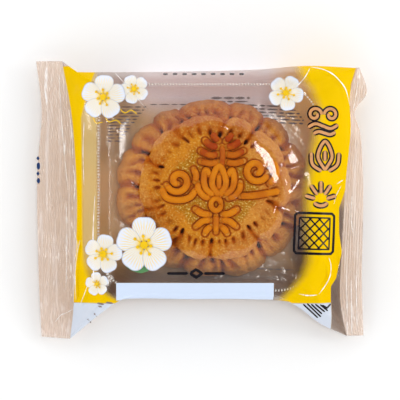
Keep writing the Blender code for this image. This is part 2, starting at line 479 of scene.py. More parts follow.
def new_tree(name: str, kind: str, inputs: dict[str, tuple[str, object]],
             outputs: dict[str, str]) -> tuple[Graph, dict[str, Wire], Node]:
    """An empty node tree with its inputs and outputs.

    Args:
        name: Name of the tree.
        kind: Shader or Geometry.
        inputs: Type and default of each input, None for Blender's own default.
        outputs: Type of each output.

    Returns:
        Its graph, its inputs as wires and its output node.
    """
    tree = bpy.data.node_groups.new(name, f"{kind}NodeTree")
    for key, (sort, default) in inputs.items():
        socket = tree.interface.new_socket(key, in_out="INPUT", socket_type=f"NodeSocket{sort}")
        if default is not None:
            socket.default_value = default
    for key, sort in outputs.items():
        tree.interface.new_socket(key, in_out="OUTPUT", socket_type=f"NodeSocket{sort}")
    graph = Graph(tree)
    entry = graph.node("NodeGroupInput")
    return graph, {key: graph.wire(entry, key) for key in inputs}, graph.node("NodeGroupOutput")


# Geometry nodes


def run_tree(item: Item, tree: Tree, values: dict[str, object]) -> Item:
    """Put a geometry node tree on a piece and keep only the plain mesh that it makes.

    Args:
        item: The piece.
        tree: The tree.
        values: Its inputs by name.

    Returns:
        The plain piece.
    """
    modifier = item.modifiers.new(tree.name, "NODES")
    modifier.node_group = tree
    for socket in tree.interface.items_tree:
        if socket.in_out == "INPUT" and socket.name in values:
            modifier[socket.identifier] = values[socket.name]
    return plain_copy(item)


def dress_tree(graph: Graph, form: Wire, given: dict[str, Wire], leave: Node) -> Tree:
    """End a geometry node tree: make its copies real and give them their finish.

    Args:
        graph: The tree's graph.
        form: What the tree has made so far.
        given: The tree's inputs, with its finish among them.
        leave: The tree's output node.

    Returns:
        The tree.
    """
    real = graph.result("GeometryNodeRealizeInstances", {0: form})
    dressed = graph.result("GeometryNodeSetMaterial", {"Geometry": real,
                                                       "Material": given["Finish"]})
    graph.feed(leave.inputs[0], dressed)
    return graph.tree


@dataclass(frozen=True)
class Line:
    """A line in space with a half width at each point and a mark that its finish reads."""

    points: Array
    half_width: Array
    mark: float = 0.0


def round_ends(path: Array, half: float, taper: float) -> Array:
    """Half widths along a path, rounded off at both ends over a length."""
    run = run_lengths(path)
    gap = np.clip(np.minimum(run, run[-1] - run) / taper, 0.04, 1.0)
    return half * np.sqrt(1.0 - (1.0 - gap) ** 2)


@dataclass(frozen=True)
class Sweep:
    """Rounded beads swept along lines by geometry nodes."""

    name: str
    finish: "Finish"
    flatness: float = 1.0
    sides: int = 12

    def tree(self) -> Tree:
        """The node tree that sweeps an oval along every line."""
        graph, given, leave = new_tree(
            f"sweep_{self.name}", "Geometry",
            {"Geometry": ("Geometry", None), "Flatness": ("Float", None), "Sides": ("Int", None),
             "Finish": ("Material", None)}, {"Geometry": "Geometry"})
        marked = graph.result("GeometryNodeStoreNamedAttribute", {
            "Geometry": given["Geometry"], "Name": "browning",
            "Value": graph.result("GeometryNodeInputCurveTilt")})
        level = graph.result("GeometryNodeSetCurveTilt", {"Curve": marked, "Tilt": 0.0})
        upright = graph.result("GeometryNodeSetCurveNormal", {"Curve": level}, mode="Z_UP")
        circle = graph.result("GeometryNodeCurvePrimitiveCircle", {"Resolution": given["Sides"],
                                                                   "Radius": 1.0})
        size = graph.result("ShaderNodeCombineXYZ", {0: 1.0, 1: given["Flatness"], 2: 1.0})
        oval = graph.result("GeometryNodeTransform", {"Geometry": circle, "Scale": size})
        swept = graph.result("GeometryNodeCurveToMesh", {
            "Curve": upright, "Profile Curve": oval,
            "Scale": graph.result("GeometryNodeInputRadius"), "Fill Caps": True})
        smooth = graph.result("GeometryNodeSetShadeSmooth", {0: swept})
        return dress_tree(graph, smooth, given, leave)

    def build(self, lines: Sequence[Line], slot: Slot) -> Item:
        """Sweep the lines.

        Args:
            lines: The lines.
            slot: Not used.

        Returns:
            The piece.
        """
        data = bpy.data.curves.new(self.name, "CURVE")
        data.dimensions = "3D"
        for line in lines:
            spline = data.splines.new("POLY")
            spline.points.add(len(line.points) - 1)
            for point, place, half in zip(spline.points, line.points, line.half_width):
                point.co = (*place, 1.0)
                point.radius = float(half)
                point.tilt = line.mark
        made = run_tree(link_new(self.name, data), self.tree(), {
            "Flatness": self.flatness, "Sides": self.sides, "Finish": self.finish.material()})
        return finish_piece(made)


@dataclass(frozen=True)
class Scatter:
    """Copies of one small form set on points by geometry nodes."""

    name: str
    finish: "Finish"

    def tree(self) -> Tree:
        """The node tree that sets, turns and sizes the copies."""
        graph, given, leave = new_tree(
            f"scatter_{self.name}", "Geometry",
            {"Geometry": ("Geometry", None), "Form": ("Object", None),
             "Finish": ("Material", None)}, {"Geometry": "Geometry"})
        form = graph.node("GeometryNodeObjectInfo", {"Object": given["Form"]})
        turn, size = (graph.result("GeometryNodeInputNamedAttribute", {"Name": name},
                                   data_type="FLOAT_VECTOR") for name in ("turn", "size"))
        copies = graph.result("GeometryNodeInstanceOnPoints", {
            "Points": given["Geometry"], "Instance": graph.wire(form, "Geometry"),
            "Rotation": turn, "Scale": size})
        return dress_tree(graph, copies, given, leave)

    def build(self, form: Item, places: Array, headings: Array, sizes: Array,
              slot: Slot) -> Item:
        """Set the copies and remove the form they were made from.

        Args:
            form: The small form, at the origin.
            places: Where each copy goes.
            headings: Its turn about Z.
            sizes: Its size along X, Y and Z.
            slot: Not used.

        Returns:
            The piece as one plain mesh.
        """
        item = make_object(self.name, places, [], [])
        turns = np.column_stack([np.zeros((len(places), 2)), headings])
        for key, values in (("turn", turns), ("size", sizes)):
            layer = item.data.attributes.new(key, "FLOAT_VECTOR", "POINT")
            layer.data.foreach_set("vector", np.asarray(values, dtype=np.float32).ravel())
        made = run_tree(item, self.tree(), {"Form": form, "Finish": self.finish.material()})
        bpy.data.objects.remove(form, do_unlink=True)
        made.data.shade_smooth()
        return finish_piece(made)


class Effects:
    """Shader groups that several finishes share, each built once."""

    _made: dict[str, Tree] = {}

    @classmethod
    def use(cls, graph: Graph, name: str, **values: object) -> Node:
        """Put one of the groups into a finish.

        Args:
            graph: The finish's graph.
            name: Which group.
            **values: Its inputs, with _ for a space.

        Returns:
            The group node.
        """
        if name not in cls._made:
            cls._made[name] = getattr(cls, name)()
        made = graph.node("ShaderNodeGroup", node_tree=cls._made[name])
        for key, value in values.items():
            graph.feed(made.inputs[key.replace("_", " ")], value)
        return made

    @staticmethod
    def crumple() -> Tree:
        """Fine uneven creasing of thin clear plastic."""
        graph, given, leave = new_tree(
            "film_crumple", "Shader",
            {"Position": ("Vector", None), "Scale": ("Float", 120.0),
             "Sharpness": ("Float", 0.5)}, {"Height": "Float"})
        broad = graph.noise(given["Position"], given["Scale"], 3.0)
        ridged = graph.math("ABSOLUTE", broad - 0.5)
        fine = graph.noise(given["Position"], given["Scale"] * 3.1, 2.0)
        graph.feed(leave.inputs["Height"], broad + ridged * given["Sharpness"] * -2.0 + fine * 0.2)
        return graph.tree

    @staticmethod
    def crumb() -> Tree:
        """Fine grain and browned blotches of baked dough."""
        graph, given, leave = new_tree(
            "dough_crumb", "Shader",
            {"Position": ("Vector", None), "Grain": ("Float", 1800.0), "Blotch": ("Float", 90.0)},
            {"Height": "Float", "Speckle": "Float", "Browning": "Float"})
        grain = graph.noise(given["Position"], given["Grain"], 3.0, 0.65)
        pores = graph.result("ShaderNodeTexVoronoi", {"Vector": given["Position"],
                                                      "Scale": given["Grain"] * 0.7})
        blotch = graph.noise(given["Position"], given["Blotch"], 4.0)
        graph.feed(leave.inputs["Height"], grain + pores * 0.6)
        graph.feed(leave.inputs["Speckle"], graph.ease(grain, 0.52, 0.68))
        graph.feed(leave.inputs["Browning"], graph.ease(blotch, 0.38, 0.66))
        return graph.tree


# Finishes


class Finish:
    """Base of the finishes: one Blender material each, built on first use."""

    _made: dict[object, Material] = {}
    name: str

    def material(self) -> Material:
        """The material."""
        if self not in Finish._made:
            made = bpy.data.materials.new(self.name)
            made.use_nodes = True
            made.node_tree.nodes.clear()
            graph = Graph(made.node_tree)
            leave = graph.node("ShaderNodeOutputMaterial")
            graph.tree.links.new(self.shade(graph).socket, leave.inputs["Surface"])
            Finish._made[self] = made
        return Finish._made[self]

    def shade(self, graph: Graph) -> Wire:
        """Build the nodes and give the shader."""
        raise NotImplementedError

    @staticmethod
    def solid(graph: Graph, colour: object, roughness: object, normal: Wire | None = None,
              **more: object) -> Wire:
        """An opaque shader.

        Args:
            graph: The finish's graph.
            colour: Its colour or a wire.
            roughness: Its roughness or a wire.
            normal: Its normal, where it has one.
            **more: Further inputs, with _ for a space.

        Returns:
            The shader as a wire.
        """
        inputs = {"Base Color": colour, "Roughness": roughness}
        if normal is not None:
            inputs["Normal"] = normal
        inputs.update({key.replace("_", " "): value for key, value in more.items()})
        return graph.result("ShaderNodeBsdfPrincipled", inputs)

    @staticmethod
    def layered(graph: Graph, share: object, under: Wire, over: Wire) -> Wire:
        """One shader over another by a share."""
        return graph.result("ShaderNodeMixShader", {0: share, 1: under, 2: over})

    @staticmethod
    def glossed(graph: Graph, under: Wire, gain: "Wire | float", roughness: float,
                normal: Wire, most: float = 0.35) -> Wire:
        """Anything under a mirror-like skin that shines more at a slant.

        Args:
            graph: The finish's graph.
            under: The shader below the skin.
            gain: How many faces of plastic the skin stands for.
            roughness: Roughness of the skin.
            normal: Its normal.
            most: Largest share that the skin reflects.

        Returns:
            The shader as a wire.
        """
        skin = graph.result("ShaderNodeBsdfGlossy", {"Color": (1.0, 1.0, 1.0, 1.0),
                                                     "Roughness": roughness, "Normal": normal})
        inside = graph.wire(graph.node("ShaderNodeNewGeometry"), "Backfacing")
        outer_ior, inner_ior = 1.5, 1.0 / 1.5
        ior = graph.math("MULTIPLY_ADD", inside, inner_ior - outer_ior, outer_ior)
        fresnel = graph.result("ShaderNodeFresnel", {"IOR": ior, "Normal": normal})
        return Finish.layered(graph, graph.least(fresnel * gain, most), under, skin)


@dataclass(frozen=True)
class CrustFinish(Finish):
    """Baked dough: golden faces and browned ridges, with painted shade in the hollows and painted light
    on the right side.
    """

    name: str = "baked_crust"
    gold: Colour = srgb(219, 143, 28)
    olive: Colour = srgb(188, 130, 10)
    pale: Colour = srgb(246, 212, 120)
    brown: Colour = srgb(176, 84, 0)
    tan: Colour = srgb(217, 154, 84)
    # Painted shade colours of the hollows, shallow then deep
    valley_shade: Colour = srgb(190, 96, 0)
    crevice_shade: Colour = srgb(96, 44, 4)
    grain: float = 1150.0
    blotch: float = 90.0
    brown_share: float = 0.35
    crest_tan: float = 0.6
    # Painted light: a paler tone towards the lit right side
    right_painted_light: float = 0.35
    right_painted_light_range: Pair = (4.0, 24.0)
    olive_share: float = 0.8
    speckle: float = 0.36
    pebble_speckle: float = 0.72
    valley_shade_until: float = 0.45
    relief: float = 0.00035
    roughness: float = 0.46
    shine: float = 0.08

    def shade(self, graph: Graph) -> Wire:
        """Build the nodes and give the shader."""
        crumb = Effects.use(graph, "crumb", Position=graph.place(), Grain=self.grain,
                            Blotch=self.blotch)
        height = graph.wire(crumb, "Height")
        pebbled = graph.attribute("pebble")
        browned = (graph.attribute("browning") + graph.wire(crumb, "Browning") * self.brown_share
                   + pebbled * self.brown_share)
        colour = graph.blend(graph.least(browned, 1.0), self.gold, self.brown)
        x, _ = graph.millimetres()
        # Paler on the petals' crests, and painted light: paler towards the right side
        paler = graph.most(graph.attribute("crest") * self.crest_tan,
                           graph.ease(x, *self.right_painted_light_range) * self.right_painted_light)
        colour = graph.blend(paler, colour, self.tan)
        colour = graph.blend(pebbled * self.olive_share, colour, self.olive)
        dark_grain = 1.0 - graph.ease(height, 0.55, 0.85)
        colour = graph.blend(dark_grain * self.brown_share, colour, self.brown)
        speckle = graph.wire(crumb, "Speckle") * (pebbled * self.pebble_speckle + self.speckle)
        colour = graph.blend(speckle, colour, self.pale)
        # Painted shade: orange in shallow hollows, near black in deep ones
        cavity = graph.attribute("cavity")
        colour = graph.blend(graph.ease(cavity, 0.0, self.valley_shade_until), colour, self.valley_shade)
        colour = graph.blend(graph.ease(cavity, self.valley_shade_until, 1.0), colour, self.crevice_shade)
        rough = graph.math("MULTIPLY_ADD", pebbled, 0.9, 1.7)
        normal = graph.bump(height * rough, self.relief, 0.9)
        return self.solid(graph, colour, self.roughness, normal, Specular_IOR_Level=self.shine)


@dataclass(frozen=True)
class GlazeFinish(Finish):
    """Egg-washed dough of the raised ornament, browner where it stood highest in the oven."""

    name: str = "egg_glaze"
    amber: Colour = srgb(219, 132, 0)
    dark: Colour = srgb(168, 62, 0)
    grain: float = 900.0
    blotch: float = 160.0
    relief: float = 0.00012
    roughness: float = 0.38
    shine: float = 0.1
    coat: float = 0.05

    def shade(self, graph: Graph) -> Wire:
        """Build the nodes and give the shader."""
        crumb = Effects.use(graph, "crumb", Position=graph.place(), Grain=self.grain,
                            Blotch=self.blotch)
        browned = graph.attribute("browning") + graph.wire(crumb, "Browning") * 0.4 - 0.15
        share = graph.least(graph.most(browned, 0.0), 1.0)
        colour = graph.blend(share, self.amber, self.dark)
        normal = graph.bump(graph.wire(crumb, "Height"), self.relief, 0.7)
        return self.solid(graph, colour, self.roughness, normal, Specular_IOR_Level=self.shine,
                          Coat_Weight=self.coat, Coat_Roughness=0.2)


@dataclass(frozen=True)
class TrayFinish(Finish):
    """Clear thin plastic of the tray."""

    name: str = "clear_tray"
    tint: Colour = (0.98, 0.975, 0.97, 1.0)
    crumple_scale: float = 60.0
    crumple_depth: float = 0.0006
    gain: float = 0.6
    most: float = 0.08

    def shade(self, graph: Graph) -> Wire:
        """Build the nodes and give the shader."""
        crumple = Effects.use(graph, "crumple", Position=graph.place(), Scale=self.crumple_scale,
                              Sharpness=0.2)
        normal = graph.bump(graph.wire(crumple), self.crumple_depth, 0.5)
        clear = graph.result("ShaderNodeBsdfTransparent", {"Color": self.tint})
        return self.glossed(graph, clear, self.gain, 0.12, normal, self.most)


@dataclass(frozen=True)
class ClearFilmFinish(Finish):
    """Film with nothing printed on it, with a little warm haze and painted near-white glints in patches
    and fine hairlines.
    """

    name: str = "clear_film"
    haze: Colour = srgb(232, 206, 188)
    # Painted glint colour, laid in the patches and hairlines sized below
    glint_white: Colour = (0.96, 0.96, 0.97, 1.0)
    tint: Colour = (0.97, 0.95, 0.92, 1.0)
    share: float = 0.40
    glint_streaks: float = 0.95
    crumple_scale: float = 170.0
    crumple_depth: float = 0.0006
    patch_scale: float = 75.0
    glint_scale: float = 620.0
    glint_squeeze: float = 0.09
    hair_scale: float = 800.0
    hair_squeeze: float = 0.02
    hair_share: float = 0.4

    def haze_colour(self, graph: Graph) -> object:
        """Colour of the haze."""
        return self.haze

    def shade(self, graph: Graph) -> Wire:
        """Build the nodes and give the shader."""
        crumple = Effects.use(graph, "crumple", Position=graph.place(),
                              Scale=self.crumple_scale, Sharpness=0.8)
        normal = graph.bump(graph.wire(crumple), self.crumple_depth, 0.8)
        clear = graph.result("ShaderNodeBsdfTransparent", {"Color": self.tint})
        # Painted glints: near-white patches drawn out along Y, and fine hairlines
        patch = graph.ease(graph.noise(graph.place(), self.patch_scale), 0.44, 0.62)
        wide = graph.noise(graph.stretched(self.glint_squeeze), self.glint_scale, 3.0)
        thin = graph.noise(graph.stretched(self.hair_squeeze), self.hair_scale)
        hair = graph.ease(thin, 0.48, 0.70) * self.hair_share
        glint = graph.most(graph.ease(wide, 0.56, 0.72) * patch, hair) * self.glint_streaks
        haze_and_glint = graph.blend(glint, self.haze_colour(graph), self.glint_white)
        haze = graph.result("ShaderNodeBsdfDiffuse", {"Color": haze_and_glint})
        sheet = self.layered(graph, glint * 0.9 + self.share, clear, haze)
        return self.glossed(graph, sheet, 0.8, 0.10, normal, 0.2)


@dataclass(frozen=True)
class RibGlintFinish(ClearFilmFinish):
    """Ribs of the tray, painted near-white to stand for the glints along its rim."""

    name: str = "tray_ribs"
    haze: Colour = srgb(250, 246, 238)
    share: float = 0.8
    glint_streaks: float = 0.0


@dataclass(frozen=True)
class BackFilmFinish(ClearFilmFinish):
    """Back of the film under the tray: lilac grey at the far side, tan in the middle, partly the table
    seen through and partly painted reflection of the cake, and painted shadow of the cake and tray
    towards the near side.
    """

    name: str = "back_film"
    share: float = 0.92
    glint_streaks: float = 0.0
    crumple_depth: float = 0.0002
    far: Colour = srgb(255, 243, 250)
    middle: Colour = srgb(255, 212, 146)
    # Painted shadow colour of the cake and tray
    near: Colour = srgb(150, 122, 100)

    # Ranges in millimetres over which one colour gives way to another
    sway: float = 16.0
    far_range: Pair = (27.0, 43.0)
    far_right: Pair = (28.0, 40.0)
    near_shadow_range: Pair = (22.0, 36.0)
    right_painted_light_range: Pair = (36.0, 43.0)
    right_shadow_below: Pair = (-2.0, 6.0)
    corner_shadow_left: Pair = (22.0, 34.0)
    corner_shadow_far: Pair = (8.0, 24.0)

    def haze_colour(self, graph: Graph) -> Wire:
        """Colour of the haze from the far side to the near side, with painted shadow near the front,
        right of the cake and in the far left corner.
        """
        x, y = graph.millimetres()
        sway = (graph.noise(graph.place(), 28.0, 3.0) - 0.5) * self.sway
        far = graph.ease(y + x * 0.25 + sway, *self.far_range)
        far = far * (1.0 - graph.ease(x, *self.far_right))
        colour = graph.blend(far, self.middle, self.far)
        # Painted shadow right of the cake and near the front
        right = graph.ease(x, *self.right_painted_light_range) * graph.ease(-1.0 * y, *self.right_shadow_below)
        shaded = graph.most(graph.ease(-1.0 * y + sway, *self.near_shadow_range), right)
        # Painted shadow in the far left corner
        corner = graph.ease(-1.0 * x, *self.corner_shadow_left) * graph.ease(y, *self.corner_shadow_far) * 0.5
        return graph.blend(graph.most(shaded, corner), colour, self.near)


@dataclass(frozen=True)
class PrintedFilmFinish(Finish):
    """The front of the film: clear window, yellow side fields, white strip and white ears."""

    name: str = "printed_film"
    yellow: Colour = srgb(237, 193, 0)
    white: Colour = srgb(212, 226, 248)
    pale: Colour = srgb(234, 207, 132)
    tint: Colour = (0.985, 0.975, 0.965, 1.0)
    reach: float = 70.0

    # Edges of the fields as pixels of the photograph: y, then x
    right_edge: tuple = (
        (67, 356), (85, 350.5), (102, 350.5), (116, 353), (127, 358), (145, 355), (176, 348),
        (191, 345), (208, 339), (233, 339), (252, 342), (278, 336), (286, 330.6), (303, 330.6),
    )
    right_fade: tuple = (
        (67, 298), (80, 304), (90, 311), (105, 318), (130, 317), (150, 313), (190, 307), (230, 307),
        (250, 309), (262, 308), (275, 303), (285, 295), (300, 280),
    )
    left_edge: tuple = (
        (72, 95), (80, 93), (100, 86), (118, 81.5), (170, 82), (240, 82.5), (260, 84), (275, 88),
        (285, 95), (295, 108), (300, 117),
    )
    strip_columns: Pair = (117.0, 273.0)
    strip_rows: Pair = (282.0, 299.5)
    ear_row: float = 302.5
    top_row: float = 66.5
    clear_column: float = 331.0
    pale_column: float = 97.5

    # Widths of soft edges in millimetres, and how strong each field is
    right_softness: Pair = (-4.4, 3.2)
    low_range: Pair = (20.0, 32.0)
    washed_range: Pair = (0.0, 10.0)
    pale_share: float = 0.5
    ear_share: float = 0.9
    ink_cover: float = 0.985
    gain: float = 0.95
    inked_gain: float = 0.93

    def edge(self, graph: Graph, y: Wire, corners: Sequence[Pair]) -> Wire:
        """Where a field's edge lies at a height of the picture.

        Args:
            graph: The finish's graph.
            y: Y in millimetres.
            corners: Picture y and x of the edge's corners.

        Returns:
            X in millimetres.
        """
        node = graph.node("ShaderNodeFloatCurve", {
            "Value": graph.math("MULTIPLY_ADD", y, 0.5 / self.reach, 0.5)})
        curve = node.mapping.curves[0]
        places = sorted((0.5 + 0.5 * PHOTO.row(py) / self.reach,
                         0.5 + 0.5 * PHOTO.column(px) / self.reach) for py, px in corners)
        curve.points[0].location = places[0]
        curve.points[1].location = places[-1]
        for place in places[1:-1]:
            curve.points.new(*place)
        for point in curve.points:
            point.handle_type = "VECTOR"
        node.mapping.update()
        return graph.math("MULTIPLY_ADD", graph.wire(node), 2.0 * self.reach, -self.reach)

    def strip(self, graph: Graph, x: Wire, y: Wire) -> Wire:
        """Share of the white strip's ink."""
        x0, x1 = (PHOTO.column(px) for px in self.strip_columns)
        y1, y0 = (PHOTO.row(py) for py in self.strip_rows)
        return (graph.past(x, x0, 0.1) * graph.past(x1 - x, 0.0, 0.1)
                * graph.past(y, y0, 0.1) * graph.past(y1 - y, 0.0, 0.1))

    def shade(self, graph: Graph) -> Wire:
        """Build the nodes and give the shader."""
        x, y = graph.millimetres()
        outer, inner, left = (self.edge(graph, y, corners) for corners
                              in (self.right_edge, self.right_fade, self.left_edge))
        right_field = (graph.ease(x - inner, *self.right_softness)
                       * graph.past(outer - x, 0.0, 0.15))
        low = graph.ease(-1.0 * y, *self.low_range)
        left_solid = graph.ease(left - x, low * -3.0 - 1.2, low * 1.6 + 0.5)
        left_pale = graph.ease(PHOTO.column(self.pale_column) - x, -1.0, 0.6) * self.pale_share
        above_ears = graph.past(y, PHOTO.row(self.ear_row), 0.2)
        left_field = (graph.most(left_solid, left_pale)
                      * graph.past(PHOTO.row(self.top_row) - y, 0.0, 0.15))
        field = graph.most(right_field, left_field) * above_ears
        clear_side = graph.past(PHOTO.column(self.clear_column) - x, 0.0, 0.2)
        ears = (1.0 - above_ears) * clear_side * self.ear_share
        white_share = graph.most(self.strip(graph, x, y), ears)
        washed = (1.0 - left_solid) * graph.ease(-1.0 * x, *self.washed_range) * (1.0 - low)
        colour = graph.blend(washed, self.yellow, self.pale)
        colour = graph.blend(white_share, colour, self.white)
        crumple = Effects.use(graph, "crumple", Position=graph.place(), Scale=110.0,
                              Sharpness=0.6)
        normal = graph.bump(graph.wire(crumple), 0.00016, 0.5)
        ink = graph.result("ShaderNodeBsdfDiffuse", {"Color": colour})
        clear = graph.result("ShaderNodeBsdfTransparent", {"Color": self.tint})
        cover = graph.most(field, white_share) * self.ink_cover
        sheet = self.layered(graph, cover, clear, ink)
        return self.glossed(graph, sheet, self.gain - self.inked_gain * cover, 0.06, normal)


@dataclass(frozen=True)
class InkFinish(Finish):
    """Plain ink on film, slightly uneven."""

    name: str
    colour: Colour
    roughness: float = 0.3
    shine: float = 0.1
    darker: float = 0.82

    def shade(self, graph: Graph) -> Wire:
        """Build the nodes and give the shader."""
        blotch = graph.noise(graph.place(), 700.0)
        darker = tuple(level * self.darker for level in self.colour[:3]) + (1.0,)
        colour = graph.blend(graph.ease(blotch, 0.45, 0.75), self.colour, darker)
        return self.solid(graph, colour, self.roughness, Specular_IOR_Level=self.shine)


@dataclass(frozen=True)
class BlossomFinish(Finish):
    """White printed petals with fine yellow veins and a yellow heart."""

    name: str = "blossom_print"
    white: Colour = srgb(229, 234, 247)
    vein: Colour = srgb(252, 214, 30)
    outline: Colour = srgb(150, 160, 184)
    veins: float = 2.5
    vein_share: float = 0.8
    outline_share: float = 0.6
    roughness: float = 0.35

    def shade(self, graph: Graph) -> Wire:
        """Build the nodes and give the shader."""
        along, across = graph.attribute("along"), graph.attribute("across")
        wobble = graph.noise(graph.place(), 400.0, 1.0) - 0.5
        phase = graph.math("FRACT", across * self.veins + wobble * 0.4 + 8.5)
        line = 1.0 - graph.ease(graph.math("ABSOLUTE", phase - 0.5), 0.08, 0.26)
        fade = graph.ease(along, 0.15, 0.3) * (1.0 - graph.ease(along, 0.60, 0.97))
        heart = 1.0 - graph.ease(along, 0.14, 0.36)
        share = graph.most(line * fade * self.vein_share, heart)
        colour = graph.blend(share, self.white, self.vein)
        rim = graph.ease(graph.attribute("rim"), 0.90, 0.99) * self.outline_share
        colour = graph.blend(rim, colour, self.outline)
        return self.solid(graph, colour, self.roughness)


@dataclass(frozen=True)
class FloorFinish(Finish):
    """Pale matt tabletop."""

    name: str = "pale_floor"
    pale: Colour = (0.985, 0.985, 0.985, 1.0)
    other: Colour = (0.965, 0.965, 0.965, 1.0)
    roughness: float = 0.85

    def shade(self, graph: Graph) -> Wire:
        """Build the nodes and give the shader."""
        mottle = graph.noise(graph.place(), 3.0, 4.0)
        return self.solid(graph, graph.blend(mottle, self.pale, self.other), self.roughness)


# The cake


@dataclass(frozen=True)
class Stroke:
    """One raised line of the ornament, in millimetres from its motif's middle."""

    points: tuple
    width: float = 2.1
    browning: float = 0.0

    def path(self, centre: Sequence[float]) -> Array:
        """Evenly spaced X, Y in metres along the stroke."""
        corners = np.array(self.points, dtype=float)
        steps = max(12, int(run_lengths(corners)[-1] / 0.35))
        return curve_through(corners, steps) * MM + np.array(centre)

    def pair(self) -> tuple["Stroke", "Stroke"]:
        """The stroke and its mirror image across the motif's upright middle."""
        mirrored = tuple((-x, y) for x, y in self.points)
        return self, Stroke(mirrored, self.width, self.browning)


def ring(radius_x: float, radius_y: float, x: float = 0.0, y: float = 0.0,
         start: float = 0.0, sweep: float = 360.0, count: int = 13) -> tuple:
    """Corner points of an arc or oval in millimetres."""
    turn = np.radians(np.linspace(start, start + sweep, count))
    return tuple((x + radius_x * math.cos(a), y + radius_y * math.sin(a)) for a in turn)


def spiral(radius: float, turns: float, x: float = 0.0, y: float = 0.0, start: float = 0.0,
           inner: float = 0.9) -> tuple:
    """Corner points of a scroll that winds inwards, in millimetres."""
    share = np.linspace(0.0, 1.0, int(abs(turns) * 12) + 3)
    reach = radius + (inner - radius) * share
    turn = math.radians(start) + share * turns * TAU
    return tuple((x + r * math.cos(a), y + r * math.sin(a)) for r, a in zip(reach, turn))


@dataclass(frozen=True)
class Motif:
    """A group of strokes round a middle given as a pixel of the photograph."""

    pixel: Pair
    strokes: tuple[Stroke, ...]
    browning: float = 0.0

    def centre(self) -> Pair:
        """Middle in metres, for the height of the cake's top."""
        return PHOTO.at(*self.pixel, height=0.033)


LOTUS = Motif((219.0, 181.0), (
    Stroke(((0.0, -6.4), (-2.9, -1.8), (-2.3, 2.9), (0.0, 6.6), (2.3, 2.9), (2.9, -1.8),
            (0.0, -6.4)), 2.8),
    Stroke(((0.0, -3.6), (0.0, 2.9)), 2.3, 0.1),
    *Stroke(((-2.2, -6.2), (-5.6, -3.4), (-6.6, 0.8), (-5.6, 4.8), (-4.0, 2.2)), 2.8).pair(),
    *Stroke(((-9.2, -0.6), (-8.8, -3.8), (-6.4, -6.6), (-4.0, -7.4)), 2.7).pair(),
), 0.15)

CLOUD_LEFT = Motif((179.0, 184.0), (
    Stroke(spiral(5.4, 1.2, -0.4, 1.4, 200.0, 1.2), 2.9),
    Stroke(((-7.6, -1.6), (-5.4, -5.8), (-0.4, -7.0), (4.6, -5.8), (7.2, -2.4)), 2.9),
    Stroke(((6.4, 6.4), (7.4, 3.6), (7.0, 1.0)), 2.8),
), 0.05)

CLOUD_RIGHT = Motif((262.0, 178.0), (
    Stroke(spiral(5.4, -1.2, -2.6, 3.4, -20.0, 1.2), 2.9),
    Stroke(((-9.4, -7.8), (-4.0, -7.6), (2.4, -6.6), (7.6, -5.6)), 2.9, 0.1),
    Stroke(((4.8, 7.2), (6.2, 3.6), (5.6, 0.0), (3.0, -2.6)), 2.9),
), 0.1)

LEAF_SPRAY = Motif((222.0, 149.0), (
    Stroke(((0.0, -7.2), (0.3, -3.0), (0.0, 1.6)), 2.5, 0.1),
    Stroke(((-1.6, -5.6), (-5.0, -6.2), (-9.2, -5.4)), 2.8),
    Stroke(((1.8, -5.6), (5.2, -6.2), (9.4, -5.2)), 2.8),
    Stroke(((-1.8, -2.2), (-5.2, -2.6), (-9.6, -0.6)), 2.9, 0.15),
    Stroke(((2.0, -2.2), (5.4, -2.6), (9.6, -0.6)), 2.9, 0.15),
    Stroke(((-1.8, 0.8), (-5.0, 1.6), (-7.6, 4.0)), 3.0, 0.3),
    Stroke(((2.0, 0.8), (5.2, 1.6), (7.8, 3.8)), 3.0, 0.3),
    Stroke(((-1.5, 3.4), (-3.2, 5.2), (-4.0, 7.2)), 2.8, 0.4),
    Stroke(((1.6, 3.4), (3.4, 5.2), (4.4, 7.0)), 2.8, 0.4),
), 0.55)

BUD = Motif((216.0, 216.0), (
    Stroke(ring(2.2, 2.6, 0.0, 5.0), 2.3),
    *Stroke(((-9.0, 2.9), (-5.8, 1.0), (-2.6, 0.6)), 2.9).pair(),
    Stroke(((0.0, 0.2), (0.0, -3.6), (0.0, -7.0)), 2.5, 0.1),
    *Stroke(((-2.4, -1.8), (-5.6, -2.2), (-8.8, -4.6)), 2.8).pair(),
    *Stroke(((-2.0, -4.4), (-3.8, -5.8), (-4.8, -7.6)), 2.8).pair(),
), 0.05)


@dataclass
class Relief:
    """What shaping adds to the smooth cake: millimetres, then shares from 0 to 1; the share for the
    hollows is painted shade.
    """

    height: Array
    swell: Array
    cavity: Array
    crest: Array
    browning: Array


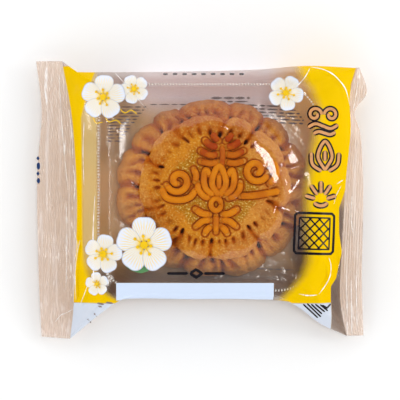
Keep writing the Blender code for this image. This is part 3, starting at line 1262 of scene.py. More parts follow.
@dataclass(frozen=True)
class PetalRow:
    """One row of petals with pressed finger marks, in millimetres and degrees.

    The marks begin, are full, fade and end at the four radii of marks. The petals rise between
    the two radii of rise.
    """

    notches: tuple
    marks: tuple[float, float, float, float]
    mark_depth: float
    swell: float
    rise: Pair
    arc: float
    crescent: float
    cleft_depth: float
    finger_span: float = 8.5
    finger_width: float = 0.22
    notch_width: float = 0.24
    crescent_depth: float = 0.45

    def places(self, angle: Array,
               seed: int) -> tuple[Array, Array, Array]:
        """Place in the row.

        Args:
            angle: Angle of each point.
            seed: Number that fixes how strong each notch is.

        Returns:
            Place across the petal from 0 to 1, the petal's finger marks and how strong the
            nearest notch is.
        """
        count = len(self.notches)
        stops = np.array([self.notches[-1] - 360.0, *self.notches, self.notches[0] + 360.0])
        turn = np.mod(np.degrees(angle) - stops[0], 360.0) + stops[0]
        index = np.clip(np.searchsorted(stops, turn, side="right") - 1, 0, len(stops) - 2)
        span = stops[index + 1] - stops[index]
        place = (turn - stops[index]) / span
        strong = np.random.default_rng(seed + count).uniform(0.55, 1.0, count)
        nearest = (index + (place > 0.5) - 1) % count
        return place, np.maximum(1.0, np.round(span / self.finger_span)), strong[nearest]

    def press(self, made: Relief, inside: Array, radius: Array, angle: Array,
              strength: Array, seed: int) -> None:
        """Add the row to the cake's relief.

        Args:
            made: The relief so far.
            inside: Share of the row at each point.
            radius: Radius of each point, with the dough's drift.
            angle: Angle of each point.
            strength: How deep the finger marks are at each point.
            seed: Number that fixes how strong each notch is.
        """
        start, full, fade, end = self.marks
        place, fingers, strong = self.places(angle, seed)
        edge_gap = np.minimum(place, 1.0 - place)
        arch = np.sqrt(np.sin(math.pi * np.clip(place, 0.0, 1.0)))
        radius = radius - self.arc * (arch - 0.6)
        phase = place * fingers
        groove = bell(phase - np.round(phase), self.finger_width)
        reach = ease(radius, start, full) * (1.0 - ease(radius, fade, end))
        pit = inside * reach * groove * strength
        cleft = (inside * strong * bell(edge_gap * fingers, self.notch_width)
                 * ease(radius, start, full))
        dome = inside * (1.0 - (0.35 + 0.65 * strong) * (1.0 - arch))
        risen = ease(radius, *self.rise)
        dip = inside * strength * bell(radius - self.crescent, 0.6)
        made.height += 0.9 * dome * risen - self.mark_depth * pit - self.cleft_depth * cleft
        made.height += 0.5 * inside * reach * (0.4 - groove) - self.crescent_depth * dip
        made.swell += self.swell * (dome - 0.7 * inside) * risen
        made.crest += (np.maximum(dome, 0.0) ** 3 * ease(radius, full, fade + 1.5)
                       * (1.0 - 0.8 * groove * reach))
        deep = 1.0 - ease(radius, full + 0.4, end)
        # Painted shade in the finger marks, clefts and dips
        made.cavity += 0.72 * pit * (0.25 + 0.75 * deep) + 0.6 * cleft + 0.16 * dip


@dataclass
class Mooncake:
    """Oval baked cake with two rows of petals and a raised ornament."""

    low_centre: Pair = (0.0050, 0.0051)
    top_centre: Pair = (0.0057, 0.0056)
    low_squash: float = 0.915
    top_squash: float = 0.955
    spokes: int = 540
    seed: int = 5

    # Radius and height of the section, in millimetres, and rows from the corner before
    section: tuple = (
        (0.35, 32.3, 1), (22.6, 32.3, 45), (23.6, 32.0, 4), (24.6, 31.8, 6), (26.4, 31.8, 10),
        (28.2, 31.8, 9), (29.8, 31.1, 8), (31.0, 29.8, 7), (31.6, 28.2, 5), (31.4, 26.0, 4),
        (32.0, 24.4, 4), (33.4, 23.4, 8), (35.4, 23.0, 10), (37.6, 21.2, 9), (39.6, 17.4, 9),
        (41.0, 12.4, 8), (41.6, 8.0, 5), (41.3, 4.0, 4), (39.8, 1.8, 4), (38.0, 1.2, 3), (0.4, 1.2, 6),
    )

    upper_row: PetalRow = PetalRow(
        (18, 58, 84, 121, 158, 200, 236, 266, 308, 342), (22.9, 24.7, 25.0, 28.4), 1.7, 2.6,
        (24.8, 28.0), 1.3, 27.6, 1.3)
    lower_row: PetalRow = PetalRow(
        (8, 34, 57, 80, 110, 132, 152, 178, 208, 232, 253, 276, 306, 330),
        (32.0, 32.8, 36.6, 40.4), 2.2, 1.45, (34.5, 38.5), 0.9, 37.4, 0.75)
    motifs: tuple[Motif, ...] = (LOTUS, CLOUD_LEFT, CLOUD_RIGHT, LEAF_SPRAY, BUD)

    # The dough's unevenness: how fine each noise is, for X and Y in millimetres
    drift_scale: float = 0.11
    sway_scale: float = 0.16
    sway_degrees: float = 3.2
    strength_scale: float = 0.3
    uneven_cell: float = 5.5
    fine_cell: float = 1.4
    lump_cell: float = 2.7

    # The pressed floor round the ornament, in metres
    groove_width: float = 0.40 * MM
    groove_depth: float = 0.35 * MM
    field_depth: float = 0.25 * MM
    field_edge: Pair = (3.0 * MM, 4.6 * MM)

    def stroke_paths(self) -> list[tuple[Array, Stroke, float]]:
        """Path, stroke and browning of every stroke."""
        return [(stroke.path(motif.centre()), stroke, motif.browning + stroke.browning)
                for motif in self.motifs for stroke in motif.strokes]

    def section_rows(self) -> Array:
        """Radius and height of every row of the body, in metres."""
        rows = [self.section[0][:2]]
        for before, after in zip(self.section, self.section[1:]):
            for step in range(1, after[2] + 1):
                share = step / after[2]
                rows.append(tuple(before[k] + (after[k] - before[k]) * share for k in (0, 1)))
        rows = np.array(rows)
        top = len(rows) - self.section[-1][2]
        inner = rows[self.section[1][2] - 2:top]
        for _ in range(3):
            inner[1:-1] = (inner[:-2] + 2.0 * inner[1:-1] + inner[2:]) / 4.0
        return rows * MM

    def relief(self, radius: Array, angle: Array) -> Relief:
        """Petals, notches and finger marks over the smooth section.

        Args:
            radius: Radius in millimetres of each point.
            angle: Angle of each point.

        Returns:
            The relief, its height and swell in metres.
        """
        x, y = radius * np.cos(angle), radius * np.sin(angle)

        def scaled_noise(scale: float, step: int) -> Array:
            """Noise that is finer for a greater scale."""
            return soft_noise(x * scale, y * scale, 1.0, self.seed + step)

        drift = scaled_noise(self.drift_scale, 4)
        sway = math.radians(self.sway_degrees) * scaled_noise(self.sway_scale, 0)
        strength = np.clip(0.70 + 0.80 * scaled_noise(self.strength_scale, 1), 0.3, 1.2)
        made = Relief(*(np.zeros_like(radius) for _ in range(5)))
        for row, inside in ((self.upper_row, 1.0 - ease(radius, 31.4, 32.4)),
                            (self.lower_row, ease(radius, 31.6, 32.4))):
            row.press(made, inside, radius - 0.8 * drift, angle + sway, strength, self.seed)
        # Painted shade where the two rows of petals meet
        made.cavity += 0.3 * bell(radius - 32.1, 0.7)
        uneven = soft_noise(x, y, self.uneven_cell, self.seed + 2)
        fine = soft_noise(x, y, self.fine_cell, self.seed + 3)
        lumps = soft_noise(x, y, self.lump_cell, self.seed + 6)
        rim = ease(radius, 22.6, 25.0)
        made.swell += 0.7 * drift * ease(radius, 27.0, 31.0)
        made.height += (0.45 * uneven + 0.30 * lumps) * rim + 0.20 * fine * (0.2 + rim)
        ridge = ease(radius, 27.0, 29.0) * (1.0 - ease(radius, 30.4, 31.8))
        browning = 0.16 * ridge + rim * (0.16 + 0.3 * uneven) * (1.0 - 0.6 * (radius > 31.9))
        browning += 0.85 * ease(y, 20.0, 35.0) * rim * (0.7 + 0.5 * fine)
        crest = made.crest * (0.65 + 0.45 * lumps) - 1.3 * made.cavity
        return Relief(made.height * MM, made.swell * MM, np.clip(made.cavity, 0.0, 1.0),
                      np.clip(crest, 0.0, 1.0), np.clip(browning, 0.0, 1.0))

    def build_body(self) -> Item:
        """The cake's closed body with marks for its finish."""
        rows = self.section_rows()
        shape = (len(rows), self.spokes)
        radius = np.broadcast_to(rows[:, 0][:, None], shape)
        height = np.broadcast_to(rows[:, 1][:, None], shape)
        turn = np.broadcast_to(np.arange(self.spokes) * TAU / self.spokes, shape)
        made = self.relief(radius / MM, turn)
        step_r, step_z = np.gradient(rows[:, 0]), np.gradient(rows[:, 1])
        size = np.hypot(step_r, step_z)
        under = ease(height / MM, 1.2, 6.0)
        radial = radius + made.swell * under + (-step_z / size)[:, None] * made.height * under
        z = height + (step_r / size)[:, None] * made.height * under
        upper = ease(height / MM, 20.0, 27.0)
        squash = self.low_squash + (self.top_squash - self.low_squash) * upper
        centre_x, centre_y = (low + (high - low) * upper
                              for low, high in zip(self.low_centre, self.top_centre))
        x = centre_x + radial * np.cos(turn)
        y = centre_y + radial * np.sin(turn) * squash
        above = height > 1.3 * MM
        disc = (1.0 - ease(radius / MM, 23.0, 24.0)) * above
        places = np.column_stack([x.ravel(), y.ravel()])
        near = self.stroke_distance(places).reshape(shape)
        groove = disc * bell(near - 0.1 * MM, self.groove_width)
        field = disc * (1.0 - ease(near, *self.field_edge)) * ease(near, 0.0, 0.5 * MM)
        z = z - self.groove_depth * groove - self.field_depth * field
        numbers = np.arange(x.size).reshape(shape)
        faces = np.vstack([strip_faces(a, b) for a, b in zip(numbers, numbers[1:])])
        faces = faces[:, ::-1].tolist()
        faces += [numbers[0].tolist(), numbers[-1][::-1].tolist()]
        body = make_object("mooncake", at_height(places, z.ravel()), faces,
                           [CrustFinish().material()])
        # Painted shade in the hollows and in the grooves round the ornament
        store(body, "cavity", np.clip(made.cavity * above + 0.85 * groove, 0.0, 1.0))
        store(body, "browning", made.browning * above)
        store(body, "pebble", field * (1.0 - ease(radius / MM, 17.0, 21.0)))
        store(body, "crest", made.crest * above)
        return finish_piece(body)

    def stroke_distance(self, places: Array) -> Array:
        """Distance of points from the edge of the nearest stroke, negative inside it."""
        best = np.full(len(places), 1.0)
        close = np.hypot(*(places - np.array(self.top_centre)).T) < 0.025
        for path, stroke, _ in self.stroke_paths():
            gap, _ = path_distance(places[close], path[::2])
            best[close] = np.minimum(best[close], gap - 0.5 * stroke.width * MM)
        return best

    def build_ornament(self) -> Item:
        """The raised strokes."""
        lines = []
        for path, stroke, browning in self.stroke_paths():
            half = 0.5 * stroke.width * MM
            points = at_height(path, self.section[0][1] * MM)
            lines.append(Line(points, round_ends(path, half, half), browning))
        return Sweep("ornament", GlazeFinish(), 0.95).build(lines, Slot.GLAZE)

    def build(self) -> None:
        """Make the body and its ornament."""
        self.build_body()
        self.build_ornament()


# The tray


@dataclass
class Tray:
    """Clear thermoformed tray: a thin round-cornered shell with a beaded rim."""

    centre: Pair = (0.0032, 0.0055)
    half: Pair = (0.0490, 0.0458)
    corner: float = 0.0190
    wall: float = 0.35 * MM
    lowest: float = 0.3 * MM
    steps: int = 44
    bead_pitch: float = 1.3 * MM
    bead_inset: float = 0.9 * MM
    bead_height: float = 23.9 * MM
    bead_size: tuple[float, float, float] = (0.30 * MM, 0.52 * MM, 0.26 * MM)

    # Distance inwards from the rim and height of the section, in millimetres
    section: tuple = (
        (0.5, 22.9), (0.3, 23.6), (0.7, 23.9), (1.6, 23.9), (2.2, 23.4), (2.5, 22.2), (2.6, 20.8),
        (3.4, 20.2), (3.8, 19.4), (3.9, 18.0), (4.7, 17.4), (5.0, 16.4), (5.1, 12.0), (5.9, 11.4),
        (6.1, 10.4), (6.3, 5.0), (6.7, 2.6), (7.8, 1.2), (9.6, 0.8), (14.0, 0.8), (30.0, 0.8),
        (43.0, 0.8),
    )

    def loop(self, inset: float, height: float) -> Array:
        """Points round the tray at a distance inwards from its rim and a height."""
        shares = dict.fromkeys(("far", "right", "near", "left"), np.arange(self.steps) / self.steps)
        half = np.array(self.half) - inset
        corner = max(self.corner - 0.8 * inset, 0.2 * min(half))
        flat = round_square(self.centre, half, min(corner, 0.95 * min(half)), shares)
        return at_height(flat, height)

    def build_shell(self) -> Item:
        """The thin closed shell."""
        outline = np.array(self.section) * MM
        step = np.gradient(outline, axis=0)
        side = np.column_stack([step[:, 1], -step[:, 0]])
        outer = outline + side / np.linalg.norm(side, axis=1)[:, None] * self.wall
        loops = [self.loop(*point) for point in outline]
        loops += [self.loop(inset, max(height, self.lowest)) for inset, height in outer[::-1]]
        numbers = np.arange(len(loops) * 4 * self.steps).reshape(len(loops), -1)
        strips = [strip_faces(a, b) for a, b in zip(numbers, np.roll(numbers, -1, axis=0))]
        inner_end = len(outline)
        del strips[inner_end - 1]
        faces = np.vstack(strips).tolist()
        faces += [numbers[inner_end - 1].tolist(), numbers[inner_end][::-1].tolist()]
        shell = make_object("tray", np.vstack(loops), faces, [TrayFinish().material()])
        return finish_piece(shell)

    def build_beads(self) -> Item:
        """The small ribs along the top of the rim, with a painted glint finish."""
        rim = self.loop(self.bead_inset, self.bead_height)
        closed = np.vstack([rim, rim[:1]])
        count = int(run_lengths(closed)[-1] / self.bead_pitch)
        places = curve_through(closed, count)[:-1]
        headings = np.arctan2(*(np.roll(places, -1, axis=0) - places)[:, 1::-1].T)
        sizes = np.tile(self.bead_size, (count, 1))
        return Scatter("tray_beads", RibGlintFinish()).build(unit_bead(), places, headings, sizes,
                                                        Slot.TRAY)

    def build(self) -> None:
        """Make the shell and its beads."""
        self.build_shell()
        self.build_beads()


def unit_bead(around: int = 10, rows: int = 6) -> Item:
    """A round bead of radius 1 at the origin."""
    verts = [(0.0, 0.0, 1.0)]
    for row in range(1, rows):
        polar = math.pi * row / rows
        for turn in np.arange(around) * TAU / around:
            verts.append((math.sin(polar) * math.cos(turn), math.sin(polar) * math.sin(turn),
                          math.cos(polar)))
    verts.append((0.0, 0.0, -1.0))
    last = len(verts) - 1
    faces = []
    for k in range(around):
        after = (k + 1) % around
        faces.append((0, 1 + k, 1 + after))
        faces.append((last, last - around + after, last - around + k))
        for low in range(1, last - around, around):
            high = low + around
            faces.append((low + k, high + k, high + after, low + after))
    return make_object("bead", np.array(verts), faces, [])


# The film


@dataclass(frozen=True)
class Fold:
    """A fold of the film along pixels of the photograph, lower at its ends."""

    pixels: tuple
    height: float
    width: float
    end_drop: float = 0.75
    taper: float = 0.12

    def rise(self, places: Array) -> Array:
        """How much the fold lifts the film at some places, in metres."""
        gap, along = path_distance(places, PHOTO.path(self.pixels))
        whole = np.clip(np.minimum(along, 1.0 - along) / self.taper, 0.0, 1.0) ** 0.6
        return self.height * MM * bump(gap, self.width * MM) * (1.0 - self.end_drop * (1.0 - whole))


class Skin:
    """Points and faces of a closed skin while it is put together."""

    def __init__(self) -> None:
        """Start with nothing."""
        self.points: list[Array] = []
        self.faces: list[Array] = []
        self.kinds: list[Array] = []
        self.total = 0

    def add_points(self, rows: Array) -> Array:
        """Add rows of points and give their vertex numbers, row by row."""
        count = rows.shape[0] * rows.shape[1]
        self.points.append(rows.reshape(-1, 3))
        self.total += count
        return self.total - count + np.arange(count).reshape(rows.shape[:2])

    def add_faces(self, faces: Array, kind: int, turned: bool) -> None:
        """Add faces of one finish, turned over or not."""
        self.faces.append(faces[:, ::-1] if turned else faces)
        self.kinds.append(np.full(len(faces), kind))

    def build(self, name: str, finishes: Sequence[Material]) -> Item:
        """The skin as one piece, faces with a doubled corner as triangles."""
        faces = [list(dict.fromkeys(face)) for face in np.vstack(self.faces).tolist()]
        return make_object(name, np.vstack(self.points), faces, finishes,
                           np.concatenate(self.kinds))


@dataclass
class FilmBag:
    """The sealed film: one closed skin round tray and cake with a crimped fin at each end."""

    edge_steps: int = 150
    side_steps: int = 96
    shoulder_rows: int = 38
    slope_rows: int = 32
    disc_rows: int = 26
    under_rows: int = 10
    fin_columns: int = 48
    gap: float = 0.0004
    seed: int = 11

    # The packet's form, as the solid has it, in metres
    left_seal: tuple = (
        (-0.0614, 0.0611), (-0.0570, 0.0361), (-0.0549, 0.0040), (-0.0552, -0.0220), (-0.0563, -0.0466),
        (-0.0579, -0.0611),
    )
    right_seal: tuple = (
        (0.0684, 0.0581), (0.0653, 0.0462), (0.0656, 0.0300), (0.0635, 0.0080), (0.0618, -0.0200),
        (0.0610, -0.0440), (0.0640, -0.0598),
    )
    far_edge: tuple = ((-0.0614, 0.0611), (-0.0603, 0.0590), (-0.0579, 0.0572), (-0.0543, 0.0563),
                       (-0.0227, 0.0563), (0.0213, 0.0572), (0.0455, 0.0590), (0.0684, 0.0581))
    near_edge: tuple = (
        (-0.0579, -0.0611), (-0.0469, -0.0519), (-0.0367, -0.0440), (-0.0050, -0.0436),
        (0.0200, -0.0436), (0.0385, -0.0447), (0.0433, -0.0475), (0.0526, -0.0546), (0.0640, -0.0598),
    )
    left_fin_edge: tuple = (
        (-0.0728, 0.0611), (-0.0704, 0.0387), (-0.0724, 0.0110), (-0.0719, -0.0264), (-0.0706, -0.0603),
    )
    right_fin_edge: tuple = (
        (0.0696, 0.0584), (0.0728, 0.0475), (0.0675, 0.0387), (0.0702, 0.0277), (0.0713, 0.0030),
        (0.0706, -0.0352), (0.0715, -0.0598),
    )
    seal_height: float = 0.0090
    ear_height: float = 0.0060
    ear_start: float = -0.0445
    ear_reach: float = 0.0165
    fin_droop: float = 0.0022
    fin_ripple: float = 0.0007
    rim_height: float = 0.0245
    disc_edge_height: float = 0.0333
    disc_height: float = 0.0342
    slope_sag: float = 0.0008
    tray_centre: tuple = (0.0032, 0.0055)
    tray_half: tuple = (0.0490, 0.0458)
    tray_corner: float = 0.0190
    base_inset: float = 0.0055
    base_height: float = 0.0002
    cake_centre: tuple = (0.0042, 0.0050)
    disc_half: tuple = (0.0327, 0.0303)
    petals: int = 12
    petal_bulge: float = 0.045
    petal_dip: float = 0.0004
    crimp_pitch: float = 0.0011
    crimp_depth: float = 0.00017
    gathers: int = 5
    gather_depth: float = 0.0009
    corner_puff: float = 0.0060
    corner_puff_reach: float = 0.305
    rim_rounding: int = 4

    folds: tuple[Fold, ...] = (
        Fold(((312, 66), (330, 72), (343, 85), (349, 105)), 1.3, 2.2),
        Fold(((310, 67), (302, 80), (281, 102)), 0.8, 1.6),
        Fold(((329, 257), (330, 277), (320, 293), (318, 303)), 1.3, 2.0),
        Fold(((94, 195), (93, 240), (94, 290)), 0.7, 1.3),
        Fold(((80, 240), (77, 255), (75, 275), (76, 300)), 0.9, 1.4),
        Fold(((74, 232), (77, 246), (74, 262)), 0.8, 1.8),
        Fold(((118, 75), (132, 92), (146, 108)), 0.8, 1.5),
        Fold(((88, 285), (84, 295), (80, 305)), 0.8, 1.6),
        Fold(((66, 100), (70, 140), (72, 185)), 0.5, 1.5),
        Fold(((275, 72), (280, 82), (279, 92)), 0.6, 1.6),
        Fold(((290, 284), (300, 288), (316, 295)), 0.5, 2.4),
        Fold(((336, 256), (333, 274), (331, 300)), -0.9, 2.2),
        Fold(((251, 158), (257, 169), (261, 177)), 0.66, 13.0, 0.0),
        Fold(((300, 176), (296, 190), (286, 206)), 0.5, 3.0),
        Fold(((266, 118), (276, 128), (286, 142)), 0.4, 3.0),
    )

    def spokes(self) -> tuple[Array, Array, Array, Array]:
        """Outline, tray rim, tray base and angle that the surface is hung on."""
        far = curve_through(self.far_edge, self.edge_steps)
        right = curve_through(self.right_seal, self.side_steps)
        near = curve_through(self.near_edge, self.edge_steps)[::-1]
        left = curve_through(self.left_seal, self.side_steps)[::-1]
        outline = np.vstack([far[:-1], right[:-1], near[:-1], left[:-1]])
        edge = np.arange(self.edge_steps) / self.edge_steps
        side = np.arange(self.side_steps) / self.side_steps
        shares = {"far": edge, "right": side, "near": edge, "left": side}
        rim, base = (round_square(self.tray_centre, np.array(self.tray_half) - inset,
                                  self.tray_corner - inset, shares)
                     for inset in (0.0, self.base_inset))
        towards = rim - np.array(self.cake_centre)
        angle = np.arctan2(towards[:, 1] / self.disc_half[1], towards[:, 0] / self.disc_half[0])
        return outline, rim, base, angle

    def seal_heights(self, outline: Array) -> Array:
        """Height of the middle of the film's edge, lower at the ears."""
        past = np.clip((self.ear_start - outline[:, 1]) / self.ear_reach, 0.0, 1.0)
        return self.seal_height + (self.ear_height - self.seal_height) * past

    def shoulder_rings(self, outline: Array, rim: Array) -> list[Array]:
        """Loops from the film's outline up to the tray's rim.

        Args:
            outline: The film's outline.
            rim: The tray's rim.

        Returns:
            Points of each loop.
        """
        seal = self.seal_heights(outline) + self.gap / 2.0
        flat_edge = np.zeros(self.edge_steps)
        side = np.arange(self.side_steps) / self.side_steps
        slack = np.concatenate([flat_edge, np.ones(self.side_steps)] * 2)
        for _ in range(max(4, self.side_steps // 8)):
            slack = (np.roll(slack, 1) + 2.0 * slack + np.roll(slack, -1)) / 4.0
        waves = np.concatenate([flat_edge, np.sin(TAU * self.gathers * side)] * 2)
        corner_gap = np.abs(np.arange(len(outline)) - self.edge_steps) / self.edge_steps
        puff = self.corner_puff * bump(corner_gap, self.corner_puff_reach)
        rings = [at_height(outline, seal)]
        for share in np.linspace(0.0, 1.0, self.shoulder_rows + 1)[1:]:
            rise = ((1.0 - slack) * math.sin(math.pi / 2.0 * share) ** 0.8
                    + slack * (0.55 * share + 0.45 * share ** 2))
            height = (seal + (self.rim_height - seal) * rise
                      + self.gather_depth * waves * slack * math.sin(math.pi * share)
                      + puff * math.sin(math.pi * share ** 0.7))
            rings.append(at_height(outline + (rim - outline) * share, height))
        return rings

    def upper_rings(self, outline: Array, rim: Array, angle: Array) -> Array:
        """Loops of the upper face from the outline to the middle.

        Args:
            outline: The film's outline.
            rim: The tray's rim.
            angle: Direction of each spoke from the cake's middle.

        Returns:
            Points by ring and spoke.
        """
        rings = self.shoulder_rings(outline, rim)
        wave = np.abs(np.cos(0.5 * self.petals * angle)) ** 0.55
        bulge = self.petal_bulge * (wave - 0.5)
        unit = np.column_stack([np.cos(angle), np.sin(angle)]) * self.disc_half
        centre = np.array(self.cake_centre)
        edge = centre + unit * (1.0 + bulge)[:, None]
        crown = self.disc_height - self.disc_edge_height
        for share in np.linspace(0.0, 1.0, self.slope_rows + 1)[1:]:
            height = (self.rim_height + (self.disc_edge_height - self.rim_height) * share
                      - self.slope_sag * math.sin(math.pi * share)
                      - self.petal_dip * (1.0 - wave) * share ** 2)
            rings.append(at_height(rim + (edge - rim) * share, height))
        for share in np.linspace(1.0, 0.03, self.disc_rows + 1)[1:]:
            fade = min(max((share - 0.8) / 0.2, 0.0), 1.0)
            flat = centre + unit * (share * (1.0 + bulge * fade))[:, None]
            dip = self.petal_dip * (1.0 - wave) * max(0.0, (share - 0.9) / 0.1)
            height = self.disc_edge_height + crown * min(1.0, (1.0 - share) / 0.06) - dip
            rings.append(at_height(flat, height))
        rings = np.array(rings)
        band = rings[self.shoulder_rows - 4:self.shoulder_rows + 5, :, 2]
        for _ in range(self.rim_rounding):
            band[1:-1] = (band[:-2] + 2.0 * band[1:-1] + band[2:]) / 4.0
        return self.crease(rings)

    def crease(self, rings: Array) -> Array:
        """Add the folds and the slack film's unevenness to the upper rings."""
        flat = rings[:, :, :2].reshape(-1, 2)
        lift = sum(fold.rise(flat) for fold in self.folds)
        row = np.repeat(np.arange(len(rings)), rings.shape[1])
        free = ease(row, 1.0, 8.0) * (1.0 - ease(row, len(rings) - 34.0, len(rings) - 26.0))
        x, y = flat.T
        slack = 0.26 * MM * soft_noise(x, y, 0.0095, self.seed)
        slack = slack + 0.05 * MM * soft_noise(x, y, 0.0034, self.seed + 1)
        cling = 0.05 * MM * soft_noise(x, y, 0.011, self.seed + 2) - 0.05 * MM
        risen = lift * ease(row, 0.0, 3.0) + slack * free + cling
        rings[:, :, 2] += risen.reshape(rings.shape[:2])
        rings[0, :, 2] = self.seal_heights(rings[0, :, :2]) + self.gap / 2.0
        return rings

    def under_rings(self, outline: Array, base: Array) -> Array:
        """Loops of the underside from the outline down and in to the flat base."""
        seal = self.seal_heights(outline) - self.gap / 2.0
        rings = [at_height(outline, seal)]
        for share in np.linspace(0.0, 1.0, self.under_rows + 1)[1:]:
            height = self.base_height + (seal - self.base_height) * (1.0 - share) ** 1.7
            rings.append(at_height(outline + (base - outline) * share, height))
        middle = np.array(self.tray_centre)
        rings += [at_height(middle + (base - middle) * share, self.base_height)
                  for share in (0.9, 0.6, 0.25)]
        return np.array(rings)

    def fin(self, seal: Array, free_edge: tuple, face: float, seed: int) -> Array:
        """Columns of film from a seal out to a fin's free edge.

        Args:
            seal: Points of the seal, flat, without its own column in the result.
            free_edge: Corner points of the free edge.
            face: 1 for the upper sheet and -1 for the lower.
            seed: Number that fixes the crimps' unevenness.

        Returns:
            Points by column and row.
        """
        edge = curve_through(free_edge, self.side_steps)
        start = self.seal_heights(seal)
        width = np.linalg.norm(edge - seal, axis=1)
        row = np.arange(self.side_steps + 1) / self.side_steps
        ripple = self.fin_ripple * np.sin(TAU * 1.5 * row + 0.6)
        columns = []
        for share in np.arange(1, self.fin_columns + 1) / self.fin_columns:
            flat = seal + (edge - seal) * share
            depth = self.crimp_depth * (0.6 + 0.6 * soft_noise(*flat.T, 0.006, seed))
            crimp = depth * np.sin(TAU * share * width / self.crimp_pitch) * min(1.0, 8.0 * share)
            sway = 0.25 * MM * soft_noise(*flat.T, 0.011, seed + 1) * share
            middle = start - self.fin_droop * share ** 1.5 + ripple * share + crimp + sway
            columns.append(at_height(flat, middle + face * self.gap / 2.0))
        return np.array(columns)

    def add_sheet(self, skin: Skin, rings: Array, outline: Array, face: float,
                  kind: int) -> Array:
        """Add the upper or the lower sheet with its half of both fins.

        Args:
            skin: The skin so far.
            rings: Points of the sheet by ring and spoke.
            outline: The film's outline.
            face: 1 for the upper sheet and -1 for the lower.
            kind: Number of its finish.

        Returns:
            Vertex numbers round its free edge.
        """
        lower = face < 0.0
        numbers = skin.add_points(rings)
        for a, b in zip(numbers, numbers[1:]):
            skin.add_faces(strip_faces(a, b), kind, lower)
        hub = np.full(len(outline), skin.add_points(rings[-1].mean(axis=0)[None, None])[0, 0])
        skin.add_faces(np.column_stack([numbers[-1], np.roll(numbers[-1], -1), hub, hub]), kind,
                       lower)
        spans = {"right": np.arange(self.edge_steps, self.edge_steps + self.side_steps + 1),
                 "left": np.arange(-self.side_steps, 1)[::-1]}
        free_edges = {"right": self.right_fin_edge, "left": self.left_fin_edge}
        ends = {}
        for name, span in spans.items():
            columns = self.fin(outline[span], free_edges[name], face, self.seed + len(name))
            grid = np.vstack([numbers[0][span][None], skin.add_points(columns)])
            for a, b in zip(grid, grid[1:]):
                skin.add_faces(strip_faces(a, b, False), 1, (name == "right") != lower)
            ends[name] = grid
        return self.free_edge(numbers[0], ends)

    def build(self) -> Item:
        """Make the skin with its three finishes by face."""
        outline, rim, base, angle = self.spokes()
        skin = Skin()
        upper = self.add_sheet(skin, self.upper_rings(outline, rim, angle), outline, 1.0, 0)
        lower = self.add_sheet(skin, self.under_rings(outline, base), outline, -1.0, 2)
        skin.add_faces(strip_faces(upper, lower), 1, True)
        finishes = [finish.material() for finish
                    in (PrintedFilmFinish(), ClearFilmFinish(), BackFilmFinish())]
        return finish_piece(skin.build("packet_film", finishes))

    def free_edge(self, first: Array, ends: dict[str, Array]) -> Array:
        """Vertex numbers round the whole free edge of one sheet, clockwise."""
        edge, side = self.edge_steps, self.side_steps
        right, left = ends["right"], ends["left"]
        return np.concatenate([
            first[:edge], right[:, 0], right[-1, 1:-1], right[:0:-1, -1],
            first[edge + side:2 * edge + side], left[:, -1], left[-1, -2:0:-1], left[:0:-1, 0]])


# Print, ribs and painted crease glints laid on the film


def unit_petal(around: int = 32, rings: int = 4) -> Item:
    """A thin petal from the origin towards X 1, with marks for its print.

    Args:
        around: Points round its edge.
        rings: Loops between its middle and its edge.

    Returns:
        The petal, one unit long and thick.
    """
    turn = np.arange(around) * TAU / around
    gap = np.abs(np.mod(turn + math.pi, TAU) - math.pi)
    edge = np.column_stack([0.56 + 0.44 * np.cos(turn) * (1.0 - 0.07 * bell(gap, 0.3)),
                            0.41 * np.sin(turn) * (1.0 + 0.22 * np.cos(turn))])
    middle = np.array([0.56, 0.0])
    verts, faces, rim = [], [], []
    for side in (0.5, -0.5):
        start = len(verts)
        verts.append((*middle, side))
        rim.append(0.0)
        for share in np.arange(1, rings + 1) / rings:
            verts += [(*(middle + (point - middle) * share), side) for point in edge]
            rim += [share] * around
        for k in range(around):
            after = (k + 1) % around
            faces.append((start, start + 1 + k, start + 1 + after))
            for row in range(rings - 1):
                low = start + 1 + row * around
                faces.append((low + k, low + around + k, low + around + after, low + after))
    outer = 1 + (rings - 1) * around
    upper = np.arange(outer, outer + around)
    lower = upper + len(verts) // 2
    faces += np.column_stack([upper, lower, np.roll(lower, -1), np.roll(upper, -1)]).tolist()
    verts = np.array(verts)
    petal = make_object("petal", verts, faces, [])
    store(petal, "along", verts[:, 0])
    store(petal, "across", verts[:, 1] / (0.35 * np.maximum(verts[:, 0], 0.25)))
    store(petal, "rim", rim)
    return petal


class Drape:
    """Lays flat pieces on the film's upper face."""

    def __init__(self, film: Item) -> None:
        """Read the film."""
        self.tree = BVHTree.FromObject(film, bpy.context.evaluated_depsgraph_get())

    def height(self, x: float, y: float) -> float:
        """Height of the film at a place."""
        hit = self.tree.ray_cast(Vector((x, y, 0.1)), Vector((0.0, 0.0, -1.0)))[0]
        if hit is None:
            hit = self.tree.find_nearest(Vector((x, y, 0.01)))[0]
        return hit.z

    def at(self, pixel: Sequence[float]) -> Array:
        """X and Y where a pixel of the photograph meets the film."""
        place = PHOTO.at(*pixel, height=0.02)
        for _ in range(2):
            place = PHOTO.at(*pixel, height=self.height(*place))
        return np.array(place)

    def line(self, pixels: Sequence[Sequence[float]], step: float = 0.5) -> Array:
        """Places along straight runs between pixels, step in millimetres."""
        return along_corners(np.array([self.at(pixel) for pixel in pixels]), step * MM)

    def lay(self, item: Item, gap: float = 0.08) -> None:
        """Lift a flat piece to a gap in millimetres above the film, with crisp edges."""
        for vertex in item.data.vertices:
            vertex.co.z += self.height(vertex.co.x, vertex.co.y) + gap * MM
        item.data.update()
        item.data.set_sharp_from_angle(angle=math.radians(40.0))


